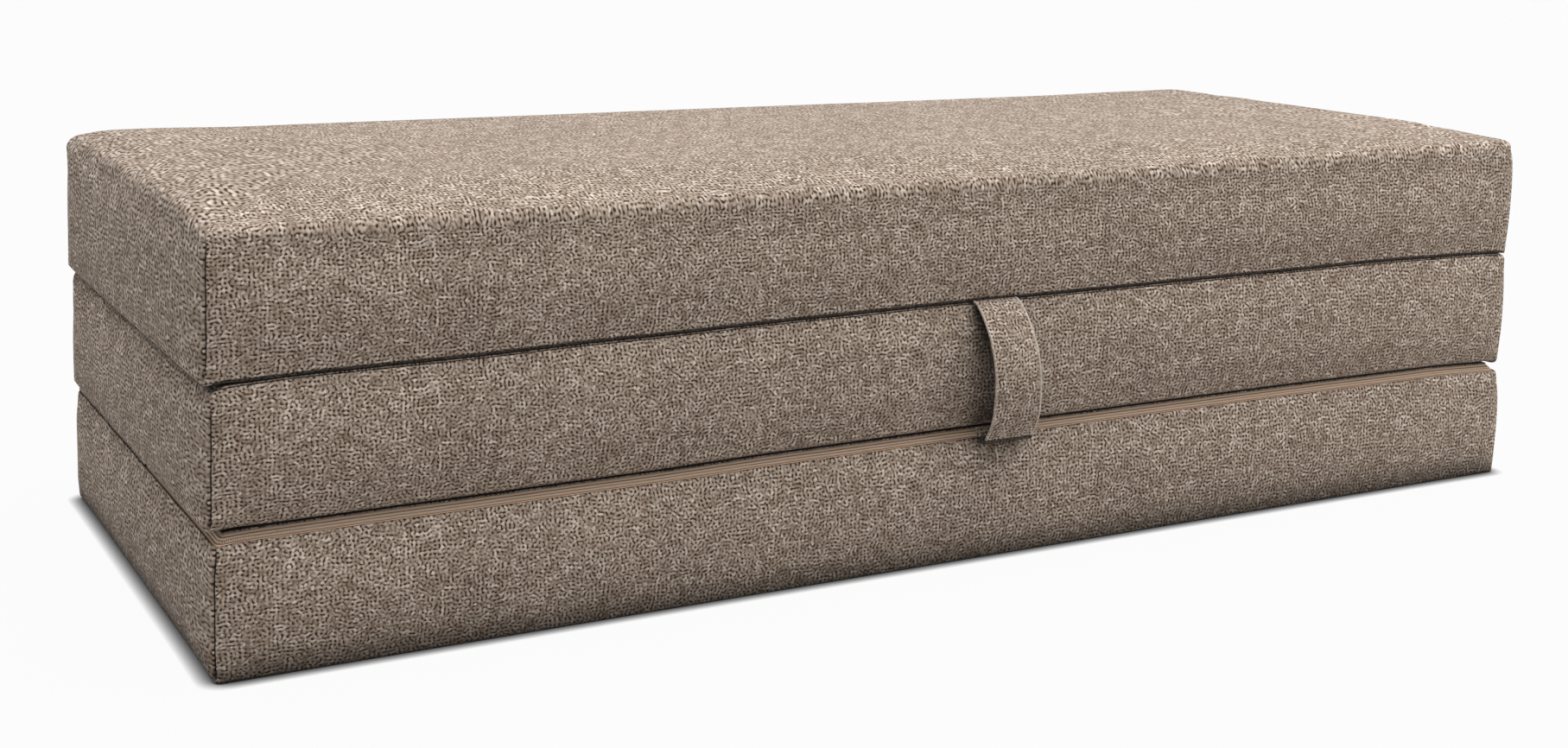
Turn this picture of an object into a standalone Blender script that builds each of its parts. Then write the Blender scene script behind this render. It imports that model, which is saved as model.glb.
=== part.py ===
"""Folding guest mattress, folded into its stack of three foam sections.

Lengths are in metres. +X runs along the sections, -Y is the front with the strap handle, +Z is up.
The origin is the middle of the face that lies on the floor.
"""

import math

import bmesh
import bpy
from mathutils import Matrix, Vector

# The open bed and its foam
bed_width = 1.600
bed_length = 2.000
foam_thickness = 0.140
sections_in_bed = 3

# Cloth and the room round it
fabric_thickness = 0.0012
fold_strip_thickness = 0.0008
touch_gap = 0.0003
foam_ease = 0.0012
rim_trim = 0.00015
lid_trim = 0.00065

# Edges and corners of a section
soft_edge = 0.022
free_edge = 0.012
zip_edge = 0.014
fold_edge = 0.003
floor_edge = 0.008
corner_radius = 0.008
inner_corner_radius = 0.006
foam_rounding = 0.013
seam_draw = 0.0012
foam_draw = 0.0024
seam_draw_start = 0.022
seam_draw_full = 0.034
end_draw = 0.001
top_crown = 0.004
crown_insets = (0.050, 0.110, 0.190)

# Zips
zip_slot = 0.015
tape_thickness = 0.0006
tape_seam = 0.006
chain_width = 0.0055
chain_thickness = 0.0022
side_run = 0.300
slot_margin = 0.030
stop_length = 0.003
stop_width = 0.0018
stop_height = 0.0012

# Zip slider and its pull tab
slider_length = 0.011
slider_plate = 0.0009
slider_lip = 0.0008
slider_rounding = 0.0003
wedge_width = 0.0022
wedge_length = 0.0036
bail_wire = 0.0009
bail_width = 0.0022
bail_hole = 0.0024
pull_thickness = 0.0011
pull_rail = 0.0013
pull_length = 0.026
pull_width = 0.0070
pull_eye = 0.0032

# Strap handle
strap_width = 0.055
strap_thickness = 0.0026
strap_middle = 0.028
strap_bow = 0.042
strap_rounding = 0.0007

# Fold strips
fold_strip_leg = 0.007
fold_strip_flap = 0.014

# How finely round shapes are divided
corner_steps = 4
long_steps = 4
end_steps = 2
edge_steps = 4
rim_steps = 2
rim_share = 0.05
soft_edge_steps = 6
eye_steps = 10
strap_steps = 3

# Sizes that follow from those above
section_length = bed_width + 2 * (fabric_thickness + foam_ease)
section_depth = bed_length / sections_in_bed + 2 * (fabric_thickness + foam_ease)
section_thickness = foam_thickness + 2 * (fabric_thickness + touch_gap)
fold_gap = fold_strip_thickness + 2 * touch_gap
section_rise = section_thickness + fold_gap
hidden_crown = (fold_gap - touch_gap) / 2
half_length = section_length / 2
half_depth = section_depth / 2
overrun = section_thickness / 10

# A section's corners, anticlockwise: sign of x, sign of y, side that x runs along, where the arc starts
FRONT_LEFT = (-1, -1, "front", math.pi)
FRONT_RIGHT = (1, -1, "front", 1.5 * math.pi)
BACK_RIGHT = (1, 1, "back", 0.0)
BACK_LEFT = (-1, 1, "back", 0.5 * math.pi)


# Scene, collections and materials

def clear_scene():
    for old in list(bpy.data.objects):
        bpy.data.objects.remove(old, do_unlink=True)


def new_collection(name):
    collection = bpy.data.collections.new(name)
    bpy.context.scene.collection.children.link(collection)
    return collection


def linear(hex_colour):
    """A linear colour with alpha from an sRGB hex string."""
    channels = []
    for place in (0, 2, 4):
        value = int(hex_colour[place:place + 2], 16) / 255
        channels.append(value / 12.92 if value <= 0.04045 else ((value + 0.055) / 1.055) ** 2.4)
    return (*channels, 1.0)


def new_material(name, hex_colour, roughness, metallic):
    material = bpy.data.materials.new(name)
    material.use_nodes = True
    shader = material.node_tree.nodes["Principled BSDF"]
    shader.inputs["Base Color"].default_value = linear(hex_colour)
    shader.inputs["Roughness"].default_value = roughness
    shader.inputs["Metallic"].default_value = metallic
    material.diffuse_color = linear(hex_colour)
    return material


# Placing objects

def world_place(thing):
    place = Vector((0.0, 0.0, 0.0))
    while thing is not None:
        place = place + thing.location
        thing = thing.parent
    return place


def new_object(name, mesh, material, place, parent, smooth_angle=math.radians(40)):
    """An object at a world place, hung on an unturned parent if it has one."""
    thing = bpy.data.objects.new(name, mesh)
    part_collection.objects.link(thing)
    thing.parent = parent
    thing.location = Vector(place) - world_place(parent)
    mesh.materials.append(material)
    mesh.shade_smooth()
    mesh.set_sharp_from_angle(angle=smooth_angle)
    return thing


def new_axis(name, place, parent):
    """An empty that lies on a joint's axis and carries all that turns about it."""
    axis = bpy.data.objects.new(name, None)
    part_collection.objects.link(axis)
    axis.parent = parent
    axis.location = Vector(place) - world_place(parent)
    return axis


def mesh_from(bm, name):
    mesh = bpy.data.meshes.new(name)
    bm.to_mesh(mesh)
    bm.free()
    return mesh


def add_solidify(thing, thickness, offset):
    shell = thing.modifiers.new("thickness", "SOLIDIFY")
    shell.thickness = thickness
    shell.offset = offset
    shell.use_even_offset = True
    shell.use_rim = True


def add_bevel(thing, width, segments):
    rounding = thing.modifiers.new("rounding", "BEVEL")
    rounding.width = width
    rounding.segments = segments
    rounding.limit_method = "ANGLE"
    rounding.angle_limit = math.radians(40)


def cut_box(thing, name, low, high):
    """Cut a box, given by its corners in the object's own frame, out of an object."""
    bm = bmesh.new()
    bmesh.ops.create_cube(bm, size=1.0)
    low = Vector(low)
    high = Vector(high)
    bmesh.ops.scale(bm, vec=high - low, verts=bm.verts)
    bmesh.ops.translate(bm, vec=(high + low) / 2, verts=bm.verts)
    cutter = bpy.data.objects.new(name, mesh_from(bm, name))
    cutter_collection.objects.link(cutter)
    cutter.parent = thing.parent
    cutter.location = thing.location
    cutter.hide_render = True
    cutter.display_type = "WIRE"
    cut = thing.modifiers.new(name, "BOOLEAN")
    cut.operation = "DIFFERENCE"
    cut.solver = "EXACT"
    cut.object = cutter


# Loops round a section and the lofts between them

def corner_arc(corner, insets, heights, drawn):
    """Points round one corner of a section. The middle one is drawn in, where the corner seam is sewn."""
    sign_x, sign_y, side, start = corner
    inset_x = insets["ends"]
    inset_y = insets[side]
    centre_x = half_length - max(corner_radius, inset_x + inner_corner_radius)
    centre_y = half_depth - max(corner_radius, inset_y + inner_corner_radius)
    radius_x = half_length - inset_x - centre_x
    radius_y = half_depth - inset_y - centre_y
    points = []
    for step in range(corner_steps + 1):
        angle = start + 0.5 * math.pi * step / corner_steps
        across = math.cos(angle)
        along = math.sin(angle)
        pull = drawn if 2 * step == corner_steps else 0.0
        height = heights["ends"] * across ** 2 + heights[side] * along ** 2
        points.append(Vector((
            sign_x * centre_x + (radius_x - pull) * across,
            sign_y * centre_y + (radius_y - pull) * along,
            height,
        )))
    return points


def between(first, last, steps):
    return [first.lerp(last, step / steps) for step in range(1, steps)]


def section_loop(insets, heights, drawn=0.0):
    """A closed loop round a section, set in from its box by side, at a height by side."""
    corners = (FRONT_LEFT, FRONT_RIGHT, BACK_RIGHT, BACK_LEFT)
    arcs = [corner_arc(corner, insets, heights, drawn) for corner in corners]
    points = []
    for place, steps in enumerate((long_steps, end_steps, long_steps, end_steps)):
        points += arcs[place]
        points += between(arcs[place][-1], arcs[(place + 1) % 4][0], steps)
    return points


def loft(loops, closed_round, cap_first, cap_last):
    """A surface through loops or rows of points, with flat caps where asked."""
    bm = bmesh.new()
    rows = [[bm.verts.new(point) for point in loop] for loop in loops]
    count = len(rows[0])
    last = count if closed_round else count - 1
    for below, above in zip(rows, rows[1:]):
        for place in range(last):
            after = (place + 1) % count
            bm.faces.new((below[place], below[after], above[after], above[place]))
    if cap_first:
        bm.faces.new(rows[0][::-1])
    if cap_last:
        bm.faces.new(rows[-1])
    return bm


def rise_at(inset, edge, crown):
    """Height of a crowned face over its edge, at a distance in from the section's side."""
    knots = (edge, *crown_insets)
    rises = [crown * math.sin(0.5 * math.pi * (knot - edge) / (crown_insets[-1] - edge)) for knot in knots]
    if inset <= edge:
        return 0.0
    for place in range(1, len(knots)):
        if inset <= knots[place]:
            share = (inset - knots[place - 1]) / (knots[place] - knots[place - 1])
            return rises[place - 1] + share * (rises[place] - rises[place - 1])
    return crown


def by_side(front, back, ends):
    """One value for each side of a section."""
    return {"front": front, "back": back, "ends": ends}


def same(value):
    return by_side(value, value, value)


def edge_loops(edges, first_angle, last_angle, steps, trim, upper):
    """Loops up a rounded edge, whose radius differs by side. The angle is 0 on the wall and 90 degrees on the face."""
    loops = []
    shares = [step / steps for step in range(steps + 1)]
    if first_angle > 0:
        shares.insert(1, rim_share)
    for share in shares:
        insets = {}
        heights = {}
        for side, radius in edges.items():
            sewn_back = trim / (radius - fabric_thickness)
            start = first_angle + (sewn_back if first_angle > 0 else 0.0)
            end = last_angle - (sewn_back if last_angle < 0.5 * math.pi else 0.0)
            angle = start + (end - start) * share
            depth = radius * (1 - math.sin(angle))
            draw = end_draw if side == "ends" else 0.0
            insets[side] = draw + radius * (1 - math.cos(angle))
            heights[side] = section_thickness - depth if upper else depth
        loops.append(section_loop(insets, heights))
    return loops


def face_loops(edges, crown, upper):
    """Loops across a face, from its rounded edge to the flat middle of its crown."""
    loops = []
    for inset in crown_insets:
        rise = rise_at(inset, max(edges.values()), crown)
        height = section_thickness + rise if upper else -rise
        loops.append(section_loop(same(inset), same(height)))
    return loops


def wall_loops(lower_edges, upper_edges):
    """Loops up a wall: the ends are fullest half way up, and the corner seams are drawn in between the edges."""
    loops = []
    middle = section_thickness / 2
    levels = (
        (seam_draw_start, 0.0),
        (seam_draw_full, seam_draw),
        (middle, seam_draw),
        (section_thickness - seam_draw_full, seam_draw),
        (section_thickness - seam_draw_start, 0.0),
    )
    for height, drawn in levels:
        edge = lower_edges["ends"] if height < middle else upper_edges["ends"]
        fullness = abs(height - middle) / (middle - edge)
        insets = by_side(0.0, 0.0, end_draw * fullness ** 2)
        loops.append(section_loop(insets, same(height), drawn))
    return loops


# The zip's band across a rounded edge, in distances in from the wall and down from the face

def seam_angle(edge):
    """Where on a rounded edge the zip's slot starts: the slot is centred on 45 degrees."""
    return 0.25 * math.pi - math.asin(zip_slot / (2 * edge))


def slot_depth(edge):
    return edge * (1 - math.sin(seam_angle(edge)))


def tape_radius(edge):
    """Radius of the tapes' middle, clear of the flats that the rounded edge is made of."""
    flats = edge * (1 - math.cos(0.25 * math.pi / edge_steps))
    return edge - fabric_thickness - touch_gap - tape_thickness / 2 - flats


def band_middle(edge):
    """How far in, and down, the middle of the zip lies."""
    half_angle = math.asin(zip_slot / (2 * edge))
    return edge - tape_radius(edge) * math.cos(half_angle) * math.cos(0.25 * math.pi)


def band_point(edge, across, outward):
    """A point of the zip's band, from its middle: across towards the face, and outward off the tape."""
    middle = band_middle(edge)
    slant = math.cos(0.25 * math.pi)
    return (middle + (across - outward) * slant, middle - (across + outward) * slant)


def tape_profile(edge):
    """The lower tape: a seam allowance behind the wall, then the slope up to the teeth."""
    radius = tape_radius(edge)
    angle = seam_angle(edge)
    reach = tape_seam / radius
    points = []
    if reach > angle:
        points.append((edge - radius, edge + tape_seam - angle * radius))
    low_angle = max(0.0, angle - reach)
    for on_arc in (low_angle, angle):
        points.append((edge - radius * math.cos(on_arc), edge - radius * math.sin(on_arc)))
    points.append(band_point(edge, -chain_width / 2 - touch_gap, 0.0))
    return points


# Routes of the three zips. Each runs anticlockwise, from its start stop to its closed end

def route_around_front(inset, depth, from_start, from_end):
    height = section_thickness - depth
    limit = side_run - half_depth
    insets = by_side(inset, inset, inset + end_draw)
    x = half_length - insets["ends"]
    arcs = [corner_arc(corner, insets, same(height), 0.0) for corner in (FRONT_LEFT, FRONT_RIGHT)]
    first = Vector((-x, limit - from_start, height))
    last = Vector((x, limit - from_end, height))
    return [first] + arcs[0] + arcs[1] + [last]


def route_along_right_end(inset, depth, from_start, from_end):
    height = section_thickness - depth
    reach = half_depth - slot_margin
    x = half_length - inset - end_draw
    return [Vector((x, from_start - reach, height)), Vector((x, reach - from_end, height))]


def route_along_back(inset, depth, from_start, from_end):
    height = section_thickness - depth
    reach = half_length - slot_margin
    y = half_depth - inset
    return [Vector((reach - from_start, y, height)), Vector((from_end - reach, y, height))]


def frame_on_band(route, edge, from_end, at_closed_end):
    """Where a piece sits on a zip, and its turn: x back along the route, y across it and z off the tape."""
    middle = band_middle(edge)
    if at_closed_end:
        points = route(middle, middle, 0.0, from_end)
        forward = (points[-1] - points[-2]).normalized()
        place = points[-1]
    else:
        points = route(middle, middle, from_end, 0.0)
        forward = (points[1] - points[0]).normalized()
        place = points[0]
    up = Vector((0.0, 0.0, 1.0))
    off_tape = (forward.cross(up) + up).normalized()
    back_along = -forward
    across = off_tape.cross(back_along)
    turn = Matrix((back_along, across, off_tape)).transposed()
    return place, turn


# Foam and covers

def make_foam(name, lower_edges, upper_edges, crowns, place, parent):
    """A foam block: it follows its cover's shape, with rounder edges that leave room for the zip."""
    skin = fabric_thickness + foam_ease
    lift = fabric_thickness + touch_gap
    loops = []
    for upper, edges, crown in ((False, lower_edges, crowns[0]), (True, upper_edges, crowns[1])):
        part = []
        for step in range(edge_steps + 1):
            angle = 0.5 * math.pi * step / edge_steps
            insets = {}
            heights = {}
            for side, edge in edges.items():
                radius = edge + foam_rounding
                inset = skin + radius * (1 - math.cos(angle))
                depth = lift + radius * (1 - math.sin(angle)) - rise_at(inset, max(edges.values()), crown)
                insets[side] = inset
                heights[side] = section_thickness - depth if upper else depth
            part.append(section_loop(insets, heights, foam_draw))
        for inset in crown_insets:
            depth = lift - rise_at(inset, max(edges.values()), crown)
            height = section_thickness - depth if upper else depth
            part.append(section_loop(same(inset), same(height), foam_draw))
        loops += part if upper else part[::-1]
    bm = loft(loops, True, True, True)
    return new_object(name, mesh_from(bm, name), foam_material, place, parent)


def make_shell(name, loops, cap_first, cap_last, place, parent):
    """A piece of sewn cover: an open surface through loops, with the cloth's thickness on its inside."""
    bm = loft(loops, True, cap_first, cap_last)
    shell = new_object(name, mesh_from(bm, name), fabric_material, place, parent)
    add_solidify(shell, fabric_thickness, -1.0)
    return shell


def make_open_up_cover(section, lower_edges, upper_edges, lower_crown, upper_crown, place, parent):
    """A tub of fabric that opens upwards, and the top panel that closes it. Their seam lies low on the edge."""
    angle = seam_angle(zip_edge)
    tub = face_loops(lower_edges, lower_crown, False)[::-1]
    tub += edge_loops(lower_edges, 0.0, 0.5 * math.pi, edge_steps, 0.0, False)[::-1]
    tub += wall_loops(lower_edges, upper_edges)
    tub += edge_loops(upper_edges, 0.0, angle, rim_steps, rim_trim, True)
    cover = make_shell(section + "_cover", tub, True, False, place, parent)
    lid = edge_loops(upper_edges, angle, 0.5 * math.pi, edge_steps, lid_trim, True)
    lid += face_loops(upper_edges, upper_crown, True)
    panel = make_shell(section + "_panel", lid, False, True, place, parent)
    return cover, panel


def make_open_down_cover(section, lower_edges, upper_edges, lower_crown, upper_crown, place, parent):
    """A hood of fabric over the top and the walls, and the bottom panel that closes it."""
    angle = seam_angle(free_edge)
    lid = face_loops(lower_edges, lower_crown, False)[::-1]
    lid += edge_loops(lower_edges, angle, 0.5 * math.pi, edge_steps, lid_trim, False)[::-1]
    panel = make_shell(section + "_panel", lid, True, False, place, parent)
    hood = edge_loops(lower_edges, 0.0, angle, rim_steps, rim_trim, False)[::-1]
    hood += wall_loops(lower_edges, upper_edges)
    hood += edge_loops(upper_edges, 0.0, 0.5 * math.pi, soft_edge_steps, 0.0, True)
    hood += face_loops(upper_edges, upper_crown, True)
    cover = make_shell(section + "_cover", hood, False, True, place, parent)
    return cover, panel


# Zip pieces

def make_tape(name, route, profile, place, parent):
    """A woven tape: an open sheet along the route, given its thickness to both sides."""
    rows = [route(inset, depth, touch_gap, touch_gap) for inset, depth in profile]
    bm = loft(rows, False, False, False)
    tape = new_object(name, mesh_from(bm, name), tape_material, place, parent)
    add_solidify(tape, tape_thickness, 0.0)
    return tape


def chain_profile(edge):
    """The closed teeth: two coils side by side, with a groove between them on each face."""
    groove_shares = ((-1.0, 0.5), (-0.7, 1.0), (-0.16, 1.0), (0.0, 0.62), (0.16, 1.0), (0.7, 1.0), (1.0, 0.5))
    half_width = chain_width / 2
    half_height = chain_thickness / 2
    outer = [band_point(edge, a * half_width, w * half_height) for a, w in groove_shares]
    inner = [band_point(edge, -a * half_width, -w * half_height) for a, w in groove_shares]
    return outer + inner


def make_chain(name, route, edge, from_start, from_end, place, parent):
    rows = [route(inset, depth, from_start, from_end) for inset, depth in chain_profile(edge)]
    sections = [list(points) for points in zip(*rows)]
    bm = loft(sections, True, True, True)
    bmesh.ops.recalc_face_normals(bm, faces=bm.faces)
    return new_object(name, mesh_from(bm, name), chain_material, place, parent, math.radians(25))


def make_stop(name, route, edge, from_end, at_closed_end, across, width, place, parent):
    """A moulded stop on the tape's face, to one side of the teeth or over both tapes."""
    bm = bmesh.new()
    bmesh.ops.create_cube(bm, size=1.0)
    bmesh.ops.scale(bm, vec=(stop_length, width, stop_height), verts=bm.verts)
    seat = tape_thickness / 2 + touch_gap + stop_height / 2
    bmesh.ops.translate(bm, vec=(0.0, across, seat), verts=bm.verts)
    on_band, turn = frame_on_band(route, edge, from_end, at_closed_end)
    stop = new_object(name, mesh_from(bm, name), metal_material, Vector(place) + on_band, parent)
    stop.rotation_euler = turn.to_euler()
    add_bevel(stop, slider_rounding, 2)
    return stop


def prism(outline, half_height):
    """A flat plate with the given outline, centred on its own plane."""
    low = [Vector((x, y, -half_height)) for x, y in outline]
    high = [Vector((x, y, half_height)) for x, y in outline]
    return loft([low, high], True, True, True)


def slider_outline(lip, lengthen):
    """Half-oval seen from above: wide where the tapes part round the wedge, narrow where the teeth come out."""
    half = slider_length / 2
    throat = chain_width / 2 + touch_gap + lip
    mouth = throat + wedge_width / 2
    shoulder_shares = ((-1.0, 0.80), (-0.62, 1.0), (-0.10, 0.55), (0.30, 0.0), (1.0, 0.0))
    side = []
    for along, swell in shoulder_shares:
        reach = along * half
        if abs(along) == 1.0:
            reach += along * lengthen
        side.append((reach, throat + swell * (mouth - throat)))
    return [(x, -y) for x, y in side] + [(x, y) for x, y in side[::-1]]


def combine(name, thing, bm, place, operation):
    """Join a shape to an object, or cut it out."""
    other = bpy.data.objects.new(name, mesh_from(bm, name))
    cutter_collection.objects.link(other)
    other.parent = thing.parent
    other.location = place
    other.hide_render = True
    other.display_type = "WIRE"
    change = thing.modifiers.new(name, "BOOLEAN")
    change.operation = operation
    change.solver = "EXACT"
    change.object = other
    return other


def build_slider_mesh():
    """The slider: two plates joined by a wedge, lips with slots for the tapes, and a bail for the pull tab."""
    channel = chain_thickness / 2 + touch_gap
    half_height = channel + slider_plate
    body = bpy.data.objects.new("slider_blank", mesh_from(prism(slider_outline(slider_lip, 0.0), half_height), "blank"))
    cutter_collection.objects.link(body)
    add_bevel(body, slider_rounding, 2)
    middle = Vector((0.0, 0.0, 0.0))
    helpers = [body]
    helpers.append(combine("slider_channel", body, prism(slider_outline(0.0, slider_lip), channel), middle, "DIFFERENCE"))
    slot = bmesh.new()
    bmesh.ops.create_cube(slot, size=1.0)
    slot_height = tape_thickness + 2 * touch_gap
    bmesh.ops.scale(slot, vec=(2 * slider_length, 2 * slider_length, slot_height), verts=slot.verts)
    helpers.append(combine("slider_slot", body, slot, middle, "DIFFERENCE"))
    wedge_shares = ((0.0, 0.7), (0.45, 1.0), (1.0, 0.12))
    start = -slider_length / 2
    side = [(start + a * wedge_length, b * wedge_width / 2) for a, b in wedge_shares]
    outline = [(x, -y) for x, y in side] + [(x, y) for x, y in side[::-1]]
    wedge = prism(outline, channel + slider_plate / 2)
    helpers.append(combine("slider_wedge", body, wedge, middle, "UNION"))
    helpers.append(combine("slider_bail", body, bail_shape(half_height), middle, "UNION"))
    evaluated = body.evaluated_get(bpy.context.evaluated_depsgraph_get())
    mesh = bpy.data.meshes.new_from_object(evaluated)
    for helper in helpers:
        bpy.data.objects.remove(helper, do_unlink=True)
    return mesh


def bail_shape(plate_top):
    """An arch on the slider, bent from flat wire, with room for the pull tab's bar."""
    room = pull_thickness + 2 * touch_gap
    half = bail_hole / 2
    foot = plate_top - slider_plate / 2
    inner_top = plate_top + room
    outer_top = inner_top + bail_wire
    outer_half = half + bail_wire
    shoulder = bail_wire
    outline = [
        (-outer_half, foot), (-half, foot), (-half, inner_top), (half, inner_top), (half, foot), (outer_half, foot),
        (outer_half, outer_top - shoulder), (outer_half - shoulder, outer_top),
        (shoulder - outer_half, outer_top), (-outer_half, outer_top - shoulder),
    ]
    left = [Vector((x, -bail_width / 2, z)) for x, z in outline]
    right = [Vector((x, bail_width / 2, z)) for x, z in outline]
    bm = loft([left, right], True, True, True)
    bmesh.ops.recalc_face_normals(bm, faces=bm.faces)
    return bm


def pull_axis_height():
    return chain_thickness / 2 + touch_gap + slider_plate + touch_gap + pull_thickness / 2


def rounded_end(centre_x, radius, steps):
    angles = [math.pi * (step / steps - 0.5) for step in range(steps + 1)]
    return [(centre_x + radius * math.cos(angle), radius * math.sin(angle)) for angle in angles]


def add_outline(curve, points):
    spline = curve.splines.new("POLY")
    spline.points.add(len(points) - 1)
    for place, (x, y) in enumerate(points):
        spline.points[place].co = (x, y, 0.0, 1.0)
    spline.use_cyclic_u = True


def build_pull_curve():
    """The pull tab: a flat plate with a window that goes round the bail and an eye for the finger."""
    bar = pull_thickness / 2
    clear = math.hypot(bail_hole / 2 + bail_wire, pull_thickness / 2 + touch_gap + bail_wire) + touch_gap
    window = bail_width / 2 + touch_gap
    head = window + pull_rail
    tail = pull_width / 2
    tail_centre = pull_length - bar - tail
    curve = bpy.data.curves.new("pull_outline", "CURVE")
    curve.dimensions = "2D"
    curve.fill_mode = "BOTH"
    curve.extrude = pull_thickness / 2
    neck = clear + pull_rail
    outer = [(-bar, -head + bar), (0.0, -head), (neck, -head)] + rounded_end(tail_centre, tail, eye_steps)
    outer += [(neck, head), (0.0, head), (-bar, head - bar)]
    add_outline(curve, outer)
    add_outline(curve, [(bar, -window), (clear, -window), (clear, window), (bar, window)])
    angles = [2 * math.pi * step / eye_steps for step in range(eye_steps)]
    eye = [(tail_centre + pull_eye / 2 * math.cos(a), pull_eye / 2 * math.sin(a)) for a in angles]
    add_outline(curve, eye)
    return curve


def slider_from_end():
    return touch_gap + stop_length + touch_gap + slider_length / 2


def make_zip(section, route, edge, place, parent):
    """One closed zip: two tapes, its teeth, three stops, the slider at the closed end and its pull tab."""
    start_stop_from_start = touch_gap + stop_length / 2
    chain_from_start = touch_gap + stop_length + touch_gap
    chain_from_end = slider_from_end() - slider_length / 2 + wedge_length + touch_gap
    lower = tape_profile(edge)
    upper = [(depth, inset) for inset, depth in lower][::-1]
    make_tape(section + "_zip_lower_tape", route, lower, place, parent)
    make_tape(section + "_zip_upper_tape", route, upper, place, parent)
    make_chain(section + "_zip_teeth", route, edge, chain_from_start, chain_from_end, place, parent)
    bridge = chain_width + 2 * (touch_gap + stop_width)
    make_stop(section + "_zip_start_stop", route, edge, start_stop_from_start, False, 0.0, bridge, place, parent)
    beside = chain_width / 2 + touch_gap + stop_width / 2
    end_stop = touch_gap + stop_length / 2
    make_stop(section + "_zip_lower_end_stop", route, edge, end_stop, True, beside, stop_width, place, parent)
    make_stop(section + "_zip_upper_end_stop", route, edge, end_stop, True, -beside, stop_width, place, parent)
    on_band, turn = frame_on_band(route, edge, slider_from_end(), True)
    slider_mesh = build_slider_mesh()
    slider = new_object(section + "_zip_slider", slider_mesh, metal_material, Vector(place) + on_band, parent)
    slider.rotation_euler = turn.to_euler()
    pull = bpy.data.objects.new(section + "_zip_pull", build_pull_curve())
    part_collection.objects.link(pull)
    pull.data.materials.append(metal_material)
    pull.parent = slider
    pull.location = (0.0, 0.0, pull_axis_height())


# Strap handle and fold strips

def smooth_through(points, steps):
    """A smooth line through points, by Catmull and Rom's rule."""
    ends = [2 * points[0] - points[1]] + points + [2 * points[-1] - points[-2]]
    line = []
    for place in range(1, len(ends) - 2):
        before, start, end, after = ends[place - 1:place + 3]
        for step in range(steps):
            t = step / steps
            line.append(0.5 * (2 * start + (end - before) * t
                               + (2 * before - 5 * start + 4 * end - after) * t ** 2
                               + (3 * start - before - 3 * end + after) * t ** 3))
    line.append(points[-1])
    return line


def strap_line():
    """The strap from the side: y is to the back and z up, in the middle section's frame."""
    off_face = touch_gap + strap_thickness / 2
    bow_shares = (
        (0.12, 0.965), (0.44, 0.880), (0.72, 0.770), (0.90, 0.620), (1.0, 0.440),
        (0.97, 0.260), (0.88, 0.110), (0.765, 0.010),
    )
    face = -half_depth
    points = [Vector((0.0, face - off_face, section_thickness - touch_gap))]
    for out, up in bow_shares:
        points.append(Vector((0.0, face - out * strap_bow, up * section_thickness)))
    crease = Vector((0.0, face - 0.715 * strap_bow, -0.024 * section_thickness))
    reach = free_edge + touch_gap + strap_thickness / 2
    slant = math.cos(0.25 * math.pi) * reach
    tail_end = Vector((0.0, face + free_edge - slant, free_edge - slant))
    front = smooth_through(points + [crease], strap_steps)
    tail_middle = crease.lerp(tail_end, 0.5) - Vector((0.0, 0.0, strap_thickness / 4))
    return front + smooth_through([crease, tail_middle, tail_end], strap_steps)[1:]


def make_strap(place, parent):
    """The handle: a doubled strip of the cover's fabric, sewn in at the middle section's two front edges."""
    line = strap_line()
    left = [point + Vector((strap_middle - strap_width / 2, 0.0, 0.0)) for point in line]
    right = [point + Vector((strap_middle + strap_width / 2, 0.0, 0.0)) for point in line]
    bm = loft([left, right], False, False, False)
    strap = new_object("strap_handle", mesh_from(bm, "strap_handle"), fabric_material, place, parent)
    add_solidify(strap, strap_thickness, 0.0)
    add_bevel(strap, strap_rounding, 2)
    return strap


def make_fold_strip(name, facing, leg_direction, place, parent):
    """A strip sewn along a fold: one leg on a section's face, the other between the two sections.

    Its corner is the axis that the sections turn about, which is the object's origin.
    """
    reach = half_length - corner_radius
    leg = Vector((0.0, 0.0, leg_direction * fold_strip_leg))
    flap = Vector((0.0, -facing * (fold_strip_flap + fold_gap / 2), 0.0))
    rows = []
    for point in (leg, Vector((0.0, 0.0, 0.0)), flap):
        rows.append([point - Vector((reach, 0.0, 0.0)), point + Vector((reach, 0.0, 0.0))])
    bm = loft(rows, False, False, False)
    strip = new_object(name, mesh_from(bm, name), fabric_material, place, parent)
    add_solidify(strip, fold_strip_thickness, 0.0)
    return strip


# The model

clear_scene()
part_collection = new_collection("folding_mattress")
cutter_collection = new_collection("cutters")
fabric_material = new_material("woven_upholstery", "87796C", 0.95, 0.0)
foam_material = new_material("polyurethane_foam", "E9E2CC", 0.9, 0.0)
tape_material = new_material("zip_tape", "A9866B", 0.85, 0.0)
chain_material = new_material("zip_coil", "8A6A52", 0.45, 0.0)
metal_material = new_material("enamelled_zinc", "8C6F58", 0.35, 0.6)

bottom_place = Vector((0.0, 0.0, 0.0))
middle_place = Vector((0.0, 0.0, section_rise))
top_place = Vector((0.0, 0.0, 2 * section_rise))
back_fold_place = (0.0, half_depth + fold_gap / 2, section_rise - fold_gap / 2)
front_fold_place = (0.0, -half_depth - fold_gap / 2, 2 * section_rise - fold_gap / 2)
back_fold_axis = new_axis("back_fold_axis", back_fold_place, None)
front_fold_axis = new_axis("front_fold_axis", front_fold_place, back_fold_axis)

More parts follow.
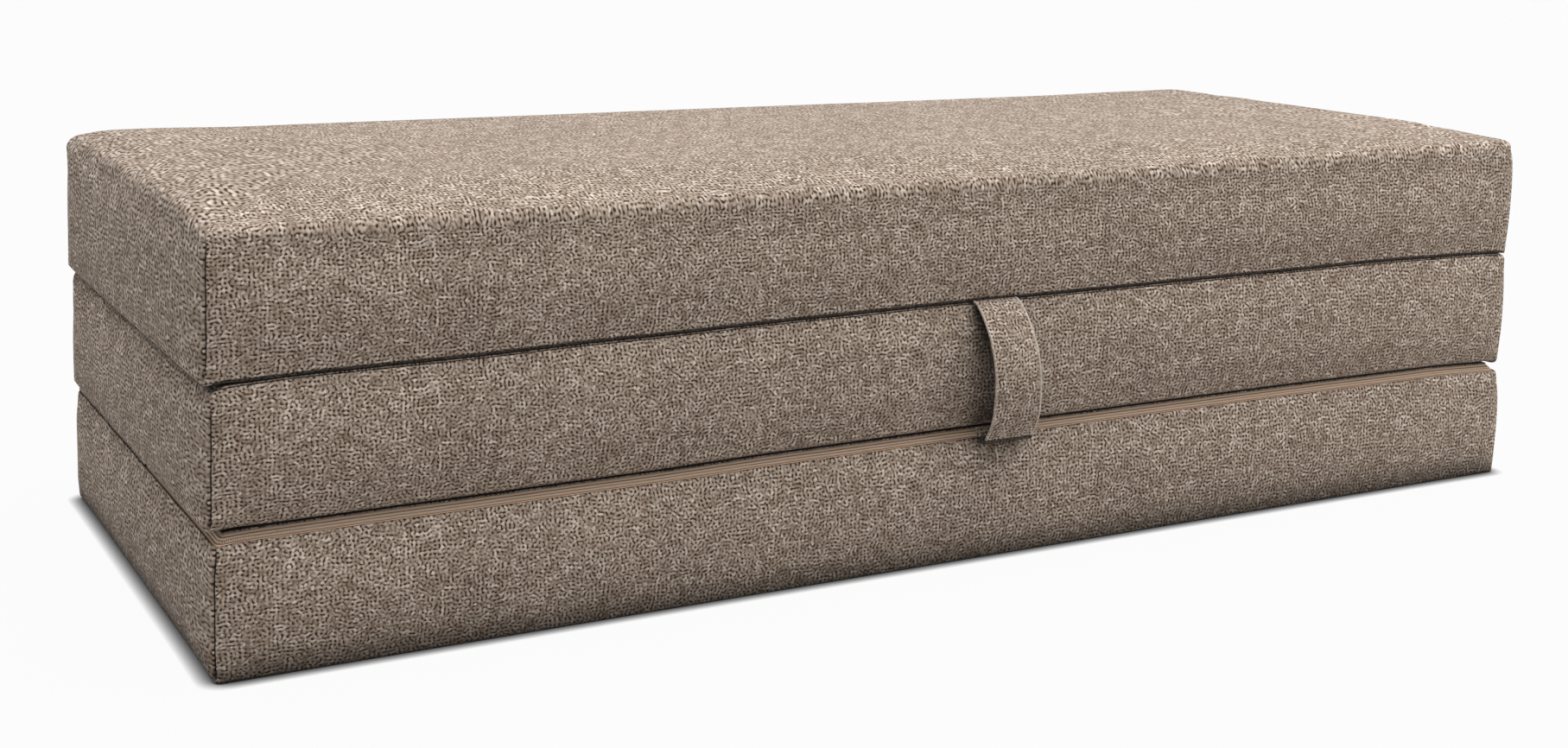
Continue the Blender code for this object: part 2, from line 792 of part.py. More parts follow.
# Bottom section: its zip runs round the front, so the panel's edge is cut back there
floor_edges = same(floor_edge)
bottom_upper_edges = by_side(zip_edge, fold_edge, zip_edge)
make_foam("bottom_foam", floor_edges, bottom_upper_edges, (0.0, hidden_crown), bottom_place, None)
bottom_cover, bottom_panel = make_open_up_cover(
    "bottom", floor_edges, bottom_upper_edges, 0.0, hidden_crown, bottom_place, None)
edge_cut = slot_depth(zip_edge)
slot_floor = section_thickness - zip_edge - touch_gap
slot_top = section_thickness + overrun
cut_box(bottom_panel, "front_slot",
        (-half_length - overrun, -half_depth - overrun, slot_floor),
        (half_length + overrun, edge_cut - half_depth, slot_top))
cut_box(bottom_panel, "left_slot",
        (-half_length - overrun, -half_depth - overrun, slot_floor),
        (edge_cut + end_draw - half_length, side_run - half_depth, slot_top))
cut_box(bottom_panel, "right_slot",
        (half_length - edge_cut - end_draw, -half_depth - overrun, slot_floor),
        (half_length + overrun, side_run - half_depth, slot_top))
make_zip("bottom", route_around_front, zip_edge, bottom_place, None)
make_fold_strip("back_fold_strip", 1.0, -1.0, back_fold_place, None)

# Middle section: its zip is on the right end, which stays free when the bed lies open
middle_lower_edges = by_side(free_edge, fold_edge, free_edge)
middle_upper_edges = by_side(fold_edge, free_edge, zip_edge)
make_foam("middle_foam", middle_lower_edges, middle_upper_edges, (hidden_crown, hidden_crown),
          middle_place, back_fold_axis)
middle_cover, middle_panel = make_open_up_cover(
    "middle", middle_lower_edges, middle_upper_edges, hidden_crown, hidden_crown, middle_place, back_fold_axis)
cut_box(middle_panel, "end_slot",
        (half_length - edge_cut - end_draw, slot_margin - half_depth, slot_floor),
        (half_length + overrun, half_depth - slot_margin, slot_top))
make_zip("middle", route_along_right_end, zip_edge, middle_place, back_fold_axis)
make_strap(middle_place, back_fold_axis)
make_fold_strip("front_fold_strip", -1.0, 1.0, front_fold_place, back_fold_axis)

# Top section: a hood with a soft upper edge, and its zip let into that edge along the back
top_lower_edges = by_side(fold_edge, free_edge, free_edge)
top_upper_edges = same(soft_edge)
make_foam("top_foam", top_lower_edges, top_upper_edges, (hidden_crown, top_crown), top_place, front_fold_axis)
top_cover, top_panel = make_open_down_cover(
    "top", top_lower_edges, top_upper_edges, hidden_crown, top_crown, top_place, front_fold_axis)
soft_cut = slot_depth(soft_edge)
cut_box(top_cover, "back_slot",
        (slot_margin - half_length, half_depth - soft_cut, section_thickness - soft_cut),
        (half_length - slot_margin, half_depth + overrun, slot_top))
make_zip("top", route_along_back, soft_edge, top_place, front_fold_axis)
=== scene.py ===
import math
import bmesh
import bpy
from mathutils import Matrix, Vector


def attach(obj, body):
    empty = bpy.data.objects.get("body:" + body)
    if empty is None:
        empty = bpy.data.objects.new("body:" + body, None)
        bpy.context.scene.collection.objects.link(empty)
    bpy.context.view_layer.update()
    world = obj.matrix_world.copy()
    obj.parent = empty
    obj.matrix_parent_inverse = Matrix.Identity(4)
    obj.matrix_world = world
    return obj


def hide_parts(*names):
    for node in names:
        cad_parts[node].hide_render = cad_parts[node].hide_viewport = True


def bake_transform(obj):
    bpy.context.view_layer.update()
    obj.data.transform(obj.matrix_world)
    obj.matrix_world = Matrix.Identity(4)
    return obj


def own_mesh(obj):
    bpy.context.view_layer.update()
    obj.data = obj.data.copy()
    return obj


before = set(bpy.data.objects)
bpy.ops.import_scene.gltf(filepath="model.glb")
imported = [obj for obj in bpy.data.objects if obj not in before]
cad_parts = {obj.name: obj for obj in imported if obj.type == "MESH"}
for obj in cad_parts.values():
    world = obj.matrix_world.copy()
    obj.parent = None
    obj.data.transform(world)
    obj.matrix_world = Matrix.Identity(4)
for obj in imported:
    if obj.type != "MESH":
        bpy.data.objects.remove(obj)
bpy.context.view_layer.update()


# Studio floor and light.
# A plain white sweep of paper under a wide soft light from above, with a small softbox at the front right.

def linear(hex_colour):
    """A linear colour with alpha from an sRGB hex string."""
    channels = []
    for place in (0, 2, 4):
        value = int(hex_colour[place:place + 2], 16) / 255
        channels.append(value / 12.92 if value <= 0.04045 else ((value + 0.055) / 1.055) ** 2.4)
    return (*channels, 1.0)


def add_node(tree, kind, inputs=None, **settings):
    """Add a shader node. An input is given a value, a socket, or a node whose first output feeds it."""
    node = tree.nodes.new("ShaderNode" + kind)
    for name, value in settings.items():
        setattr(node, name, value)
    for key, value in (inputs or {}).items():
        if isinstance(value, bpy.types.Node):
            value = value.outputs[0]
        if isinstance(value, bpy.types.NodeSocket):
            tree.links.new(value, node.inputs[key])
        else:
            node.inputs[key].default_value = value
    return node


def start_material(name):
    """An empty material and its node tree."""
    material = bpy.data.materials.new(name)
    material.use_nodes = True
    material.node_tree.nodes.clear()
    return material, material.node_tree


def place_object(name, bm, material):
    """A smooth-shaded object at the origin from a bmesh."""
    mesh = bpy.data.meshes.new(name)
    bm.to_mesh(mesh)
    bm.free()
    mesh.materials.append(material)
    mesh.shade_smooth()
    thing = bpy.data.objects.new(name, mesh)
    bpy.context.scene.collection.objects.link(thing)
    return thing


def seen_directly(tree):
    """A node that gives 1 to what the camera sees, straight, mirrored or through glass, and 0 to the rest."""
    path = add_node(tree, "LightPath")
    seen = add_node(tree, "Math", {0: path.outputs["Is Camera Ray"], 1: path.outputs["Is Glossy Ray"]},
                    operation="MAXIMUM")
    return add_node(tree, "Math", {0: seen, 1: path.outputs["Is Transmission Ray"]}, operation="MAXIMUM")


floor_size = 14.0
floor_colour = "FFFFFF"
backdrop_level = 0.982
floor_bounce = "AAA8A6"
contact_reach = 0.016
contact_depth = 2.3
contact_samples = 12
cast_share = 0.05
sky_colour = "FFFFFF"
sky_level = 0.328
sun_level = 2.76
sun_spread = math.radians(60)
sun_turn = (math.radians(4.5), math.radians(8.5), 0.0)
fill_place = (1.9, -1.9, 0.62)
fill_aim = (0.7, -0.33, 0.2)
fill_power = 6.6
fill_size = 0.8

paper, tree = start_material("white_paper_sweep")
# Matt white paper: the camera sees plain white with a painted contact shadow, from how near the mattress is,
# and a small share of really lit paper. It throws back the weaker light of a real pale floor.
nearby = add_node(tree, "AmbientOcclusion", {"Distance": contact_reach}, samples=contact_samples)
painted_contact_shadow = add_node(tree, "Math", {0: nearby.outputs["AO"], 1: contact_depth}, operation="POWER")
plain = add_node(tree, "VectorMath", {0: linear(floor_colour)[:3], "Scale": painted_contact_shadow}, operation="SCALE")
lit_paper = add_node(tree, "BsdfDiffuse", {"Color": linear(floor_bounce)})
white_paper = add_node(tree, "Emission", {"Color": plain})
share = add_node(tree, "Math", {0: seen_directly(tree), 1: 1.0 - cast_share}, operation="MULTIPLY")
surface = add_node(tree, "MixShader", {0: share, 1: lit_paper, 2: white_paper})
add_node(tree, "OutputMaterial", {"Surface": surface})
bm = bmesh.new()
bmesh.ops.create_grid(bm, x_segments=1, y_segments=1, size=floor_size)
floor = place_object("studio_floor", bm, paper)

world = bpy.context.scene.world or bpy.data.worlds.new("studio")
bpy.context.scene.world = world
world.use_nodes = True
tree = world.node_tree
tree.nodes.clear()
level = add_node(tree, "MapRange", {0: seen_directly(tree), 3: sky_level, 4: backdrop_level})
sky = add_node(tree, "Background", {"Color": linear(sky_colour), "Strength": level})
add_node(tree, "OutputWorld", {"Surface": sky})

sun_data = bpy.data.lights.new("overhead_softbox", "SUN")
sun_data.energy = sun_level
sun_data.angle = sun_spread
sun = bpy.data.objects.new("overhead_softbox", sun_data)
sun.rotation_euler = sun_turn
bpy.context.scene.collection.objects.link(sun)

fill_data = bpy.data.lights.new("front_right_softbox", "AREA")
fill_data.energy = fill_power
fill_data.size = fill_size
fill = bpy.data.objects.new("front_right_softbox", fill_data)
fill.location = fill_place
fill.rotation_euler = (Vector(fill_aim) - Vector(fill_place)).to_track_quat("-Z", "Y").to_euler()
bpy.context.scene.collection.objects.link(fill)
bpy.context.scene.view_settings.view_transform = "Standard"


# Camera.
# It stands before the mattress's left end at table height, and looks a little down on it with a long lens.
# Its place and turn were fitted to the photo's corners.

photo_width = 1815
camera_place = (-1.2040, -2.1508, 0.7087)
camera_right = (0.86983, -0.49307, 0.01676)
camera_up = (0.07268, 0.16166, 0.98417)
camera_back = (-0.48798, -0.85484, 0.17645)
focal_pixels = 2403.1
centre_right = 60.0
centre_down = -120.0
film_width = 36.0
farthest_seen = 60.0

camera_data = bpy.data.cameras.new("photo_camera")
camera_data.sensor_width = film_width
camera_data.lens = focal_pixels / photo_width * film_width
camera_data.shift_x = -centre_right / photo_width
camera_data.shift_y = centre_down / photo_width
camera_data.clip_end = farthest_seen
camera = bpy.data.objects.new("photo_camera", camera_data)
turn = Matrix((camera_right, camera_up, camera_back)).transposed()
camera.matrix_world = Matrix.Translation(camera_place) @ turn.to_4x4()
bpy.context.scene.collection.objects.link(camera)
bpy.context.scene.camera = camera


# Foam cores.
# Each section is filled with a cut block of polyurethane foam, cream and full of fine open pores.

foam_colour = "E9E2CC"
pore_size = 0.0016
pore_depth = 0.0006
cover_to_foam = 0.0050
foam_edge = 0.026
foam_edge_segments = 4
foam_long_edge = 0.3
foam_cuts = 12
half_length = 0.8024
half_depth = 0.33573
section_height = 0.143
stack_levels = (0.0, 0.1444, 0.2888)
stack_height = 0.4318

# How the stack settles. A line's knots are a place along the length and a rise or drop there. A swell's knots
# are a height above the section's underside and a reach outward, for the bottom, middle and top section.
lower_line = ((-0.8024, -0.0040), (-0.78, -0.0024), (-0.60, -0.0013), (-0.40, -0.0002), (-0.20, 0.0025),
              (0.0, 0.0037), (0.40, 0.0040), (0.68, 0.0031), (0.8024, 0.0))
upper_line = ((-0.8024, -0.0125), (-0.78, -0.0101), (-0.70, -0.0079), (-0.60, -0.0073), (-0.40, -0.0043),
              (-0.20, -0.0016), (0.0, 0.0), (0.40, 0.0009), (0.60, 0.0016), (0.70, 0.0), (0.8024, -0.0018))
front_drop = ((-0.8024, 0.0135), (-0.60, 0.0135), (-0.30, 0.0132), (0.10, 0.0112), (0.50, 0.0078),
              (0.8024, 0.0034))
front_slope = 0.13
back_line = ((-0.8024, 0.0), (-0.72, -0.0004), (-0.60, -0.0030), (0.50, -0.0032), (0.70, -0.0012),
             (0.8024, 0.0))
left_swell = (((0.0, 0.0040), (0.03, 0.0050), (0.10, 0.0034), (0.126, 0.0003), (0.143, -0.0004)),
              ((0.0, 0.0038), (0.05, 0.0032), (0.10, 0.0014), (0.125, 0.0), (0.143, -0.0006)),
              ((0.0, 0.0038), (0.04, 0.0026), (0.143, 0.0)))
right_swell = (((0.0, 0.0062), (0.06, 0.0052), (0.10, 0.0045), (0.128, 0.0005), (0.143, 0.0)),
               ((0.0, 0.0008), (0.03, 0.0018), (0.09, 0.0010), (0.12, 0.0), (0.143, 0.0)),
               ((0.0, 0.0), (0.04, 0.0012), (0.143, 0.0014)))
swell_from = 0.12
lip_drop = (0.0010, 0.0042)
lip_reach = 0.014
lip_height = 0.05
front_bow = 0.0038
bow_reach = 0.10
corner_sag = 0.0012
right_corner_share = 0.3
corner_reach = 0.030


def read_line(line, x):
    """The value at x of a smooth line through its knots, level beyond both ends."""
    for (x0, z0), (x1, z1) in zip(line, line[1:]):
        if x <= x1:
            share = min(1.0, max(0.0, (x - x0) / (x1 - x0)))
            return z0 + (z1 - z0) * share * share * (3 - 2 * share)
    return line[-1][1]


def fade(distance, reach):
    """A share that falls smoothly from 1 at no distance to 0 at the reach."""
    return read_line(((0.0, 1.0), (reach, 0.0)), distance)


def stack_lift(x, y, z):
    """How far a point of the stack rises: its folds bow, and its top drops towards the front."""
    levels = (*stack_levels, stack_height)
    crown = read_line(back_line, x) * max(0.0, y / half_depth)
    crown -= read_line(front_drop, x) * fade(half_depth + y, front_slope)
    lifts = (0.0, read_line(lower_line, x), read_line(upper_line, x), crown)
    lift = crown if z > stack_height else 0.0
    for place in range(3):
        if levels[place] <= z <= levels[place + 1]:
            along = (z - levels[place]) / (levels[place + 1] - levels[place])
            lift = lifts[place] + along * (lifts[place + 1] - lifts[place])
    return lift


def settled(point, base):
    """Where a point of the stack comes to lie, its corners pinched, its ends swollen and its fronts bowed."""
    x, y, z = point
    lift = stack_lift(x, y, z)
    above = z - base
    from_end = half_length - abs(x)
    away = math.hypot(from_end, half_depth - abs(y))
    pinch = corner_sag * math.exp(-(away / corner_reach) ** 2) * (1.0 if x < 0.0 else right_corner_share)
    lean = above / section_height - 0.5
    if base > 0.0 or lean > 0.0:
        lift -= 2.0 * lean * pinch
    if base > 0.0:
        lift -= lip_drop[x > 0.0] * fade(from_end, lip_reach) * fade(above, lip_height)
    swell = (left_swell if x < 0.0 else right_swell)[stack_levels.index(base)]
    out = read_line(swell, above) * fade(from_end, swell_from)
    bow = front_bow * math.sin(math.pi * min(1.0, max(0.0, above / section_height)))
    bow *= fade(half_depth + y, bow_reach)
    return Vector((x + math.copysign(out, x), y - bow, z + lift))


foam, tree = start_material("polyurethane_foam")
# Cut open-cell foam: matt, with pores that show as a fine pitted grain.
where = add_node(tree, "TexCoord")
pores = add_node(tree, "TexVoronoi", {"Vector": where.outputs["Object"], "Scale": 1 / pore_size})
dent = add_node(tree, "Bump", {"Height": pores.outputs["Distance"], "Distance": pore_depth})
surface = add_node(tree, "BsdfPrincipled",
                   {"Base Color": linear(foam_colour), "Roughness": 0.95, "Normal": dent})
add_node(tree, "OutputMaterial", {"Surface": surface})

for section, base in zip(("bottom", "middle", "top"), stack_levels):
    bm = bmesh.new()
    bmesh.ops.create_cube(bm, size=1.0)
    room = 2 * cover_to_foam
    size = (2 * half_length - room, 2 * half_depth - room, section_height - room)
    bmesh.ops.scale(bm, vec=size, verts=bm.verts)
    bmesh.ops.translate(bm, vec=(0.0, 0.0, base + section_height / 2), verts=bm.verts)
    bmesh.ops.bevel(bm, geom=bm.edges, offset=foam_edge, segments=foam_edge_segments, affect="EDGES",
                    profile=0.5, material=-1)
    long_edges = [edge for edge in bm.edges if edge.calc_length() > foam_long_edge]
    bmesh.ops.subdivide_edges(bm, edges=long_edges, cuts=foam_cuts, use_grid_fill=True)
    for vert in bm.verts:
        vert.co = settled(vert.co, base)
    core = place_object(section + "_foam_core", bm, foam)
    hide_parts(section + "_foam")
    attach(core, section + "_section")


# Woven covers.
# Each section has a cover of thick crepe-woven upholstery cloth, sewn with a plain seam down each corner and
# pulled tight over its foam. A panel of the same cloth closes it, and the zip is let into the join.

thread_pitch = 0.0041
checked_share = 0.35
yarn_flank = (0.02, 0.42)
sunk_height = 0.6
slub_length = 0.012
slub_range = (0.28, 0.72)
warp_apart = 7.3
weft_apart = 9.1
yarn_wander = 0.0065
wander_size = 0.019
crepe_size = 0.0085
crepe_turns = 2.0
crepe_share = 0.56
crepe_range = (0.30, 0.62)
gap_range = (0.245, 0.69)
ridge_highlight_start = 0.70
ridge_highlight_gain = 1.3
patch_scale = 9.0
patch_range = (0.3, 0.7)
patch_tones = (0.95, 1.05)
fibre_scale = 1800.0
fibre_share = 0.25
yarn_relief = 0.0007
relief_strength = 0.8
painted_shade_range = (0.15, 0.75)
painted_shade_darkest = 0.16
crease_reach = 0.045
crease_samples = 6
crease_range = (0.26, 0.86)
crease_shade_darkest = 0.08
painted_highlight_share = 0.80
painted_gap_shade = "3A2D25"
yarn_dark = "93806F"
yarn_mid = "B4A292"
yarn_light = "DACBBD"
painted_highlight_colour = "E6D9CC"

weave, tree = start_material("crepe_woven_upholstery")
# Slubby two-tone yarn in a random crepe weave: short raised dashes both ways, with a painted highlight on
# their tops and painted shade in the gaps between them.
# The threads are drawn about twice as coarse as real ones, so that they show in the render.
cloth = add_node(tree, "UVMap", uv_map="weave")
drift = add_node(tree, "TexNoise",
                 {"Vector": cloth, "Scale": 1 / wander_size, "Detail": 2.0}, noise_dimensions="2D")
drifted = add_node(tree, "VectorMath",
                   {0: drift.outputs["Color"], 1: (yarn_wander, yarn_wander, 0.0), 2: cloth},
                   operation="MULTIPLY_ADD")
counted = add_node(tree, "VectorMath", {0: drifted, "Scale": 1 / thread_pitch}, operation="SCALE")
split = add_node(tree, "SeparateXYZ", {0: counted})
cell = add_node(tree, "VectorMath", {0: counted}, operation="FLOOR")
cells = add_node(tree, "SeparateXYZ", {0: cell})
chance = add_node(tree, "TexWhiteNoise", {"Vector": cell}, noise_dimensions="2D")
both = add_node(tree, "Math", {0: cells, 1: cells.outputs[1]}, operation="ADD")
parity = add_node(tree, "Math", {0: both, 1: 1.0}, operation="PINGPONG")
checked = add_node(tree, "Math", {0: parity, 1: checked_share}, operation="MULTIPLY")
mixed = add_node(tree, "Math", {0: chance, 1: 1.0 - checked_share, 2: checked}, operation="MULTIPLY_ADD")
warp_up = add_node(tree, "Math", {0: mixed, 1: 0.5}, operation="GREATER_THAN")
warp_side = add_node(tree, "Math", {0: split, 1: 0.5}, operation="PINGPONG")
weft_side = add_node(tree, "Math", {0: split.outputs[1], 1: 0.5}, operation="PINGPONG")
warp_round, weft_round = (
    add_node(tree, "MapRange", {0: side, 1: yarn_flank[0], 2: yarn_flank[1]},
             interpolation_type="SMOOTHERSTEP")
    for side in (warp_side, weft_side))
over = add_node(tree, "Mix", {0: warp_up, 2: weft_round, 3: warp_round})
under = add_node(tree, "Mix", {0: warp_up, 2: warp_round, 3: weft_round})
sunk = add_node(tree, "Math", {0: under, 1: sunk_height}, operation="MULTIPLY")
yarn_height = add_node(tree, "Math", {0: over, 1: sunk}, operation="MAXIMUM")
warp_place = add_node(tree, "CombineXYZ", {0: cells, 1: split.outputs[1]})
weft_place = add_node(tree, "CombineXYZ", {0: split, 1: cells.outputs[1]})
warp_thread = add_node(tree, "VectorMath",
                       {0: warp_place, 1: (warp_apart, thread_pitch / slub_length, 0.0)},
                       operation="MULTIPLY")
weft_thread = add_node(tree, "VectorMath",
                       {0: weft_place, 1: (thread_pitch / slub_length, weft_apart, 0.0)},
                       operation="MULTIPLY")
thread = add_node(tree, "Mix", {0: warp_up, 4: weft_thread, 5: warp_thread}, data_type="VECTOR")
slub = add_node(tree, "TexNoise", {"Vector": thread.outputs[1], "Scale": 1.0, "Detail": 2.0},
                noise_dimensions="2D")
yarn = add_node(tree, "ValToRGB", {0: slub})
yarn.color_ramp.elements[0].position = slub_range[0]
yarn.color_ramp.elements[0].color = linear(yarn_dark)
yarn.color_ramp.elements[1].position = slub_range[1]
yarn.color_ramp.elements[1].color = linear(yarn_light)
yarn.color_ramp.elements.new(0.5).color = linear(yarn_mid)
crepe = add_node(tree, "TexGabor",
                 {"Vector": cloth, "Scale": 1 / crepe_size, "Frequency": crepe_turns,
                  "Anisotropy": 0.0})
crinkle = add_node(tree, "MapRange", {0: crepe, 1: crepe_range[0], 2: crepe_range[1]},
                   interpolation_type="SMOOTHSTEP")
yarn_height = add_node(tree, "Mix", {0: crepe_share, 2: yarn_height, 3: crinkle})
# Painted shade in the gaps between the threads, and a painted highlight on their tops.
hollow = add_node(tree, "MapRange", {0: yarn_height, 1: gap_range[0], 2: gap_range[1]})
painted_ridge_highlight = add_node(tree, "MapRange", {0: yarn_height, 1: ridge_highlight_start, 2: 1.0, 3: 1.0, 4: ridge_highlight_gain})
gapped = add_node(tree, "Mix", {0: hollow, 6: linear(painted_gap_shade), 7: yarn}, data_type="RGBA")
shaded = add_node(tree, "VectorMath", {0: gapped.outputs[2], "Scale": painted_ridge_highlight}, operation="SCALE")
patch = add_node(tree, "TexNoise", {"Vector": cloth, "Scale": patch_scale, "Detail": 3.0},
                 noise_dimensions="2D")
patched = add_node(tree, "MapRange",
                   {0: patch, 1: patch_range[0], 2: patch_range[1],
                    3: patch_tones[0], 4: patch_tones[1]})
colour = add_node(tree, "VectorMath", {0: shaded, "Scale": patched}, operation="SCALE")
fibre = add_node(tree, "TexNoise", {"Vector": cloth, "Scale": fibre_scale, "Detail": 1.0},
                 noise_dimensions="2D")
fuzz = add_node(tree, "Math", {0: fibre, 1: fibre_share, 2: yarn_height}, operation="MULTIPLY_ADD")
relief = add_node(tree, "Bump", {"Height": fuzz, "Distance": yarn_relief, "Strength": relief_strength})
# Painted shade: a point attribute darkens the cloth down the corner seams, along the zip slot's rim, on the
# fold strips deep in their creases, and on the strap's turned end, tail and right edge.
painted_shade = add_node(tree, "Attribute", attribute_name="painted_shade")
painted_shade_factor = add_node(tree, "MapRange",
                    {0: painted_shade.outputs["Fac"], 1: painted_shade_range[0], 2: painted_shade_range[1], 3: 1.0, 4: painted_shade_darkest})
# Painted shade: the cloth's colour darkens where other surfaces are near, in creases, under overhangs and
# behind the strap.
nearby = add_node(tree, "AmbientOcclusion", {"Distance": crease_reach}, samples=crease_samples)
painted_crease_shade = add_node(tree, "MapRange",
                   {0: nearby.outputs["AO"], 1: crease_range[0], 2: crease_range[1], 3: crease_shade_darkest, 4: 1.0})
darkened = add_node(tree, "Math", {0: painted_shade_factor, 1: painted_crease_shade}, operation="MULTIPLY")
colour = add_node(tree, "VectorMath", {0: colour, "Scale": darkened}, operation="SCALE")
# Painted highlight: a point attribute lightens the strap's folded edges, where they catch the light.
painted_highlight = add_node(tree, "Attribute", attribute_name="painted_highlight")
highlight_amount = add_node(tree, "Math", {0: painted_highlight.outputs["Fac"], 1: painted_highlight_share}, operation="MULTIPLY")
colour = add_node(tree, "Mix", {0: highlight_amount, 6: colour, 7: linear(painted_highlight_colour)}, data_type="RGBA")
surface = add_node(tree, "BsdfPrincipled",
                   {"Base Color": colour.outputs[2], "Roughness": 0.92, "Specular IOR Level": 0.2,
                    "Sheen Weight": 0.06, "Sheen Roughness": 0.5, "Normal": relief})
add_node(tree, "OutputMaterial", {"Surface": surface})

FRONT, BACK, LEFT, RIGHT = range(4)
COVER, PANEL, CUT_AWAY = range(3)
cloth_thickness = 0.0012
corner_radius = 0.009
corner_segments = 4
grid_step = 0.014
grid_margin = 0.020
wall_margin = 0.024
top_stretch = 0.60
end_stretch = 0.43
end_wall_stretch = 0.85
front_wall_stretch = 1.04
tension = 0.09
underside_slope = -0.7
underside_offset = 3.0
zip_rim = 0.01094
flap_rim = 0.0090
turned_edge = 0.0012
rim_shade = 0.6
seam_half = 0.0010
seam_side = 0.012
seam_foot = 0.004
seam_head = 0.013
seam_depth = 0.0034
seam_cut_side = 0.016
seam_cut_foot = 0.006
seam_cut_head = 0.012
pucker_depth = 0.0025
pucker_reach = 0.007
hem_half = 0.0012
hem_depth = 0.0016
face_slack = 0.001
far = 0.95
same_place = 1e-4
cut_slack = 1e-6
loose_hold = 0.10
sim_pressure = 2.5
sim_frames = 20
fullness_cap = 0.006
foam_backing = 0.0015


def rounded_block(base, lower, upper):
    """A box with rounded edges: lower and upper hold the radii of the front, back, left and right edges."""
    bm = bmesh.new()
    bmesh.ops.create_cube(bm, size=1.0)
    bmesh.ops.scale(bm, vec=(2 * half_length, 2 * half_depth, section_height), verts=bm.verts)
    bmesh.ops.translate(bm, vec=(0.0, 0.0, base + section_height / 2), verts=bm.verts)
    weight = bm.edges.layers.float.new("bevel_weight_edge")
    widest = max(*lower, *upper)
    for edge in bm.edges:
        a, b = (vert.co for vert in edge.verts)
        middle = (a + b) / 2
        radii = upper if middle.z > base + section_height / 2 else lower
        if abs(a.z - b.z) > section_height / 2:
            edge[weight] = corner_radius / widest
        elif abs(a.x - b.x) > half_length:
            edge[weight] = radii[FRONT if middle.y < 0 else BACK] / widest
        else:
            edge[weight] = radii[LEFT if middle.x < 0 else RIGHT] / widest
    blank = place_object("blank", bm, weave)
    rounding = blank.modifiers.new("rounding", "BEVEL")
    rounding.limit_method = "WEIGHT"
    rounding.width = widest
    rounding.segments = corner_segments
    bm = bmesh.new()
    bm.from_object(blank, bpy.context.evaluated_depsgraph_get())
    bpy.data.objects.remove(blank, do_unlink=True)
    return bm


def slice_block(bm, axis, places):
    """Cut the whole skin along planes square to an axis."""
    normal = Vector((0.0, 0.0, 0.0))
    normal[axis] = 1.0
    for place in places:
        bmesh.ops.bisect_plane(bm, geom=bm.verts[:] + bm.edges[:] + bm.faces[:], dist=cut_slack,
                               plane_co=normal * place, plane_no=normal)


def steps_between(low, high, step):
    """Evenly spaced places from low to high, about a step apart."""
    count = max(1, round((high - low) / step))
    return [low + (high - low) * place / count for place in range(count + 1)]


def developed(value, limit, z, base, radius, wall_stretch):
    """Distance along the cloth from the section's middle, out over a rounded edge and down the wall."""
    depth = base + section_height - z
    flat = (limit - radius) * top_stretch
    if abs(value) <= limit - radius:
        return value * top_stretch
    angle = math.atan2(abs(value) - (limit - radius), max(radius - depth, 1e-9))
    reach = radius * angle
    if depth > radius:
        reach = radius * math.pi / 2 + depth - radius
    return math.copysign(flat + reach * wall_stretch, value)


def lay_weave(bm, base, upper):
    """Give the skin the thread directions of cloth that runs over the top and down all four walls."""
    uv = bm.loops.layers.uv.new("weave")
    for face in bm.faces:
        centre = face.calc_center_median()
        out_x = abs(centre.x) - half_length
        out_y = abs(centre.y) - half_depth
        under = face.normal.z < underside_slope
        for loop in face.loops:
            x, y, z = loop.vert.co
            if under:
                loop[uv].uv = (x, y + underside_offset)
            elif out_x > out_y:
                radius = upper[LEFT if x < 0 else RIGHT]
                loop[uv].uv = (developed(x, half_length, z, base, radius, end_wall_stretch), y * end_stretch)
            else:
                radius = upper[FRONT if y < 0 else BACK]
                down = developed(y, half_depth, z, base, radius, front_wall_stretch)
                ease = 1.0 - tension * (x + half_length)
                loop[uv].uv = (x * (1.0 + ease - tension * half_length) / 2, down * ease)


def inside(point, box, slack=0.0):
    """Whether a point lies in a box, given by its low and high corner."""
    low, high = box
    return all(low[axis] - slack < point[axis] < high[axis] + slack for axis in range(3))


def cut_skin(bm, base, edge_room, join, zip_boxes):
    """Cut the skin into a fine grid, and along the panel's seam and the edges of the zip's slot."""
    slice_block(bm, 0, steps_between(edge_room - half_length, half_length - edge_room, grid_step))
    slice_block(bm, 1, steps_between(edge_room - half_depth, half_depth - edge_room, grid_step))
    slice_block(bm, 2, steps_between(base + wall_margin, base + section_height - wall_margin, grid_step))
    slice_block(bm, 2, (join - hem_half, join, join + hem_half))
    for low, high in zip_boxes:
        for axis in range(3):
            slice_block(bm, axis, [value for value in (low[axis], high[axis]) if abs(value) < far])
        slice_block(bm, 2, [low[2] - turned_edge])


def near_corner(spot, corner, base):
    """Whether a spot on the skin is beside the seam that runs down a corner."""
    beside = (spot - corner).to_2d().length < seam_cut_side
    return beside and base + seam_cut_foot < spot.z < base + section_height - seam_cut_head


def cut_corners(bm, base):
    """Cut the skin on both sides of each corner's seam."""
    for sign_x in (-1, 1):
        for sign_y in (-1, 1):
            normal = Vector((sign_y, -sign_x, 0.0)).normalized()
            corner = Vector((sign_x * half_length, sign_y * half_depth, 0.0))
            for offset in (-seam_half, seam_half):
                near = [face for face in bm.faces if near_corner(face.calc_center_median(), corner, base)]
                around = {item for face in near for item in (*face.verts, *face.edges, face)}
                bmesh.ops.bisect_plane(bm, geom=list(around), dist=cut_slack,
                                       plane_co=corner + normal * offset, plane_no=normal)


def mark_parts(bm, join, zip_boxes, free_top):
    """Mark each face as part of the cover, of its panel or of the slot that is cut away for the zip."""
    part = bm.faces.layers.int.new("part")
    for face in bm.faces:
        centre = face.calc_center_median()
        face[part] = PANEL if (centre.z < join) == free_top else COVER
        if any(inside(centre, box) for box in zip_boxes):
            face[part] = CUT_AWAY


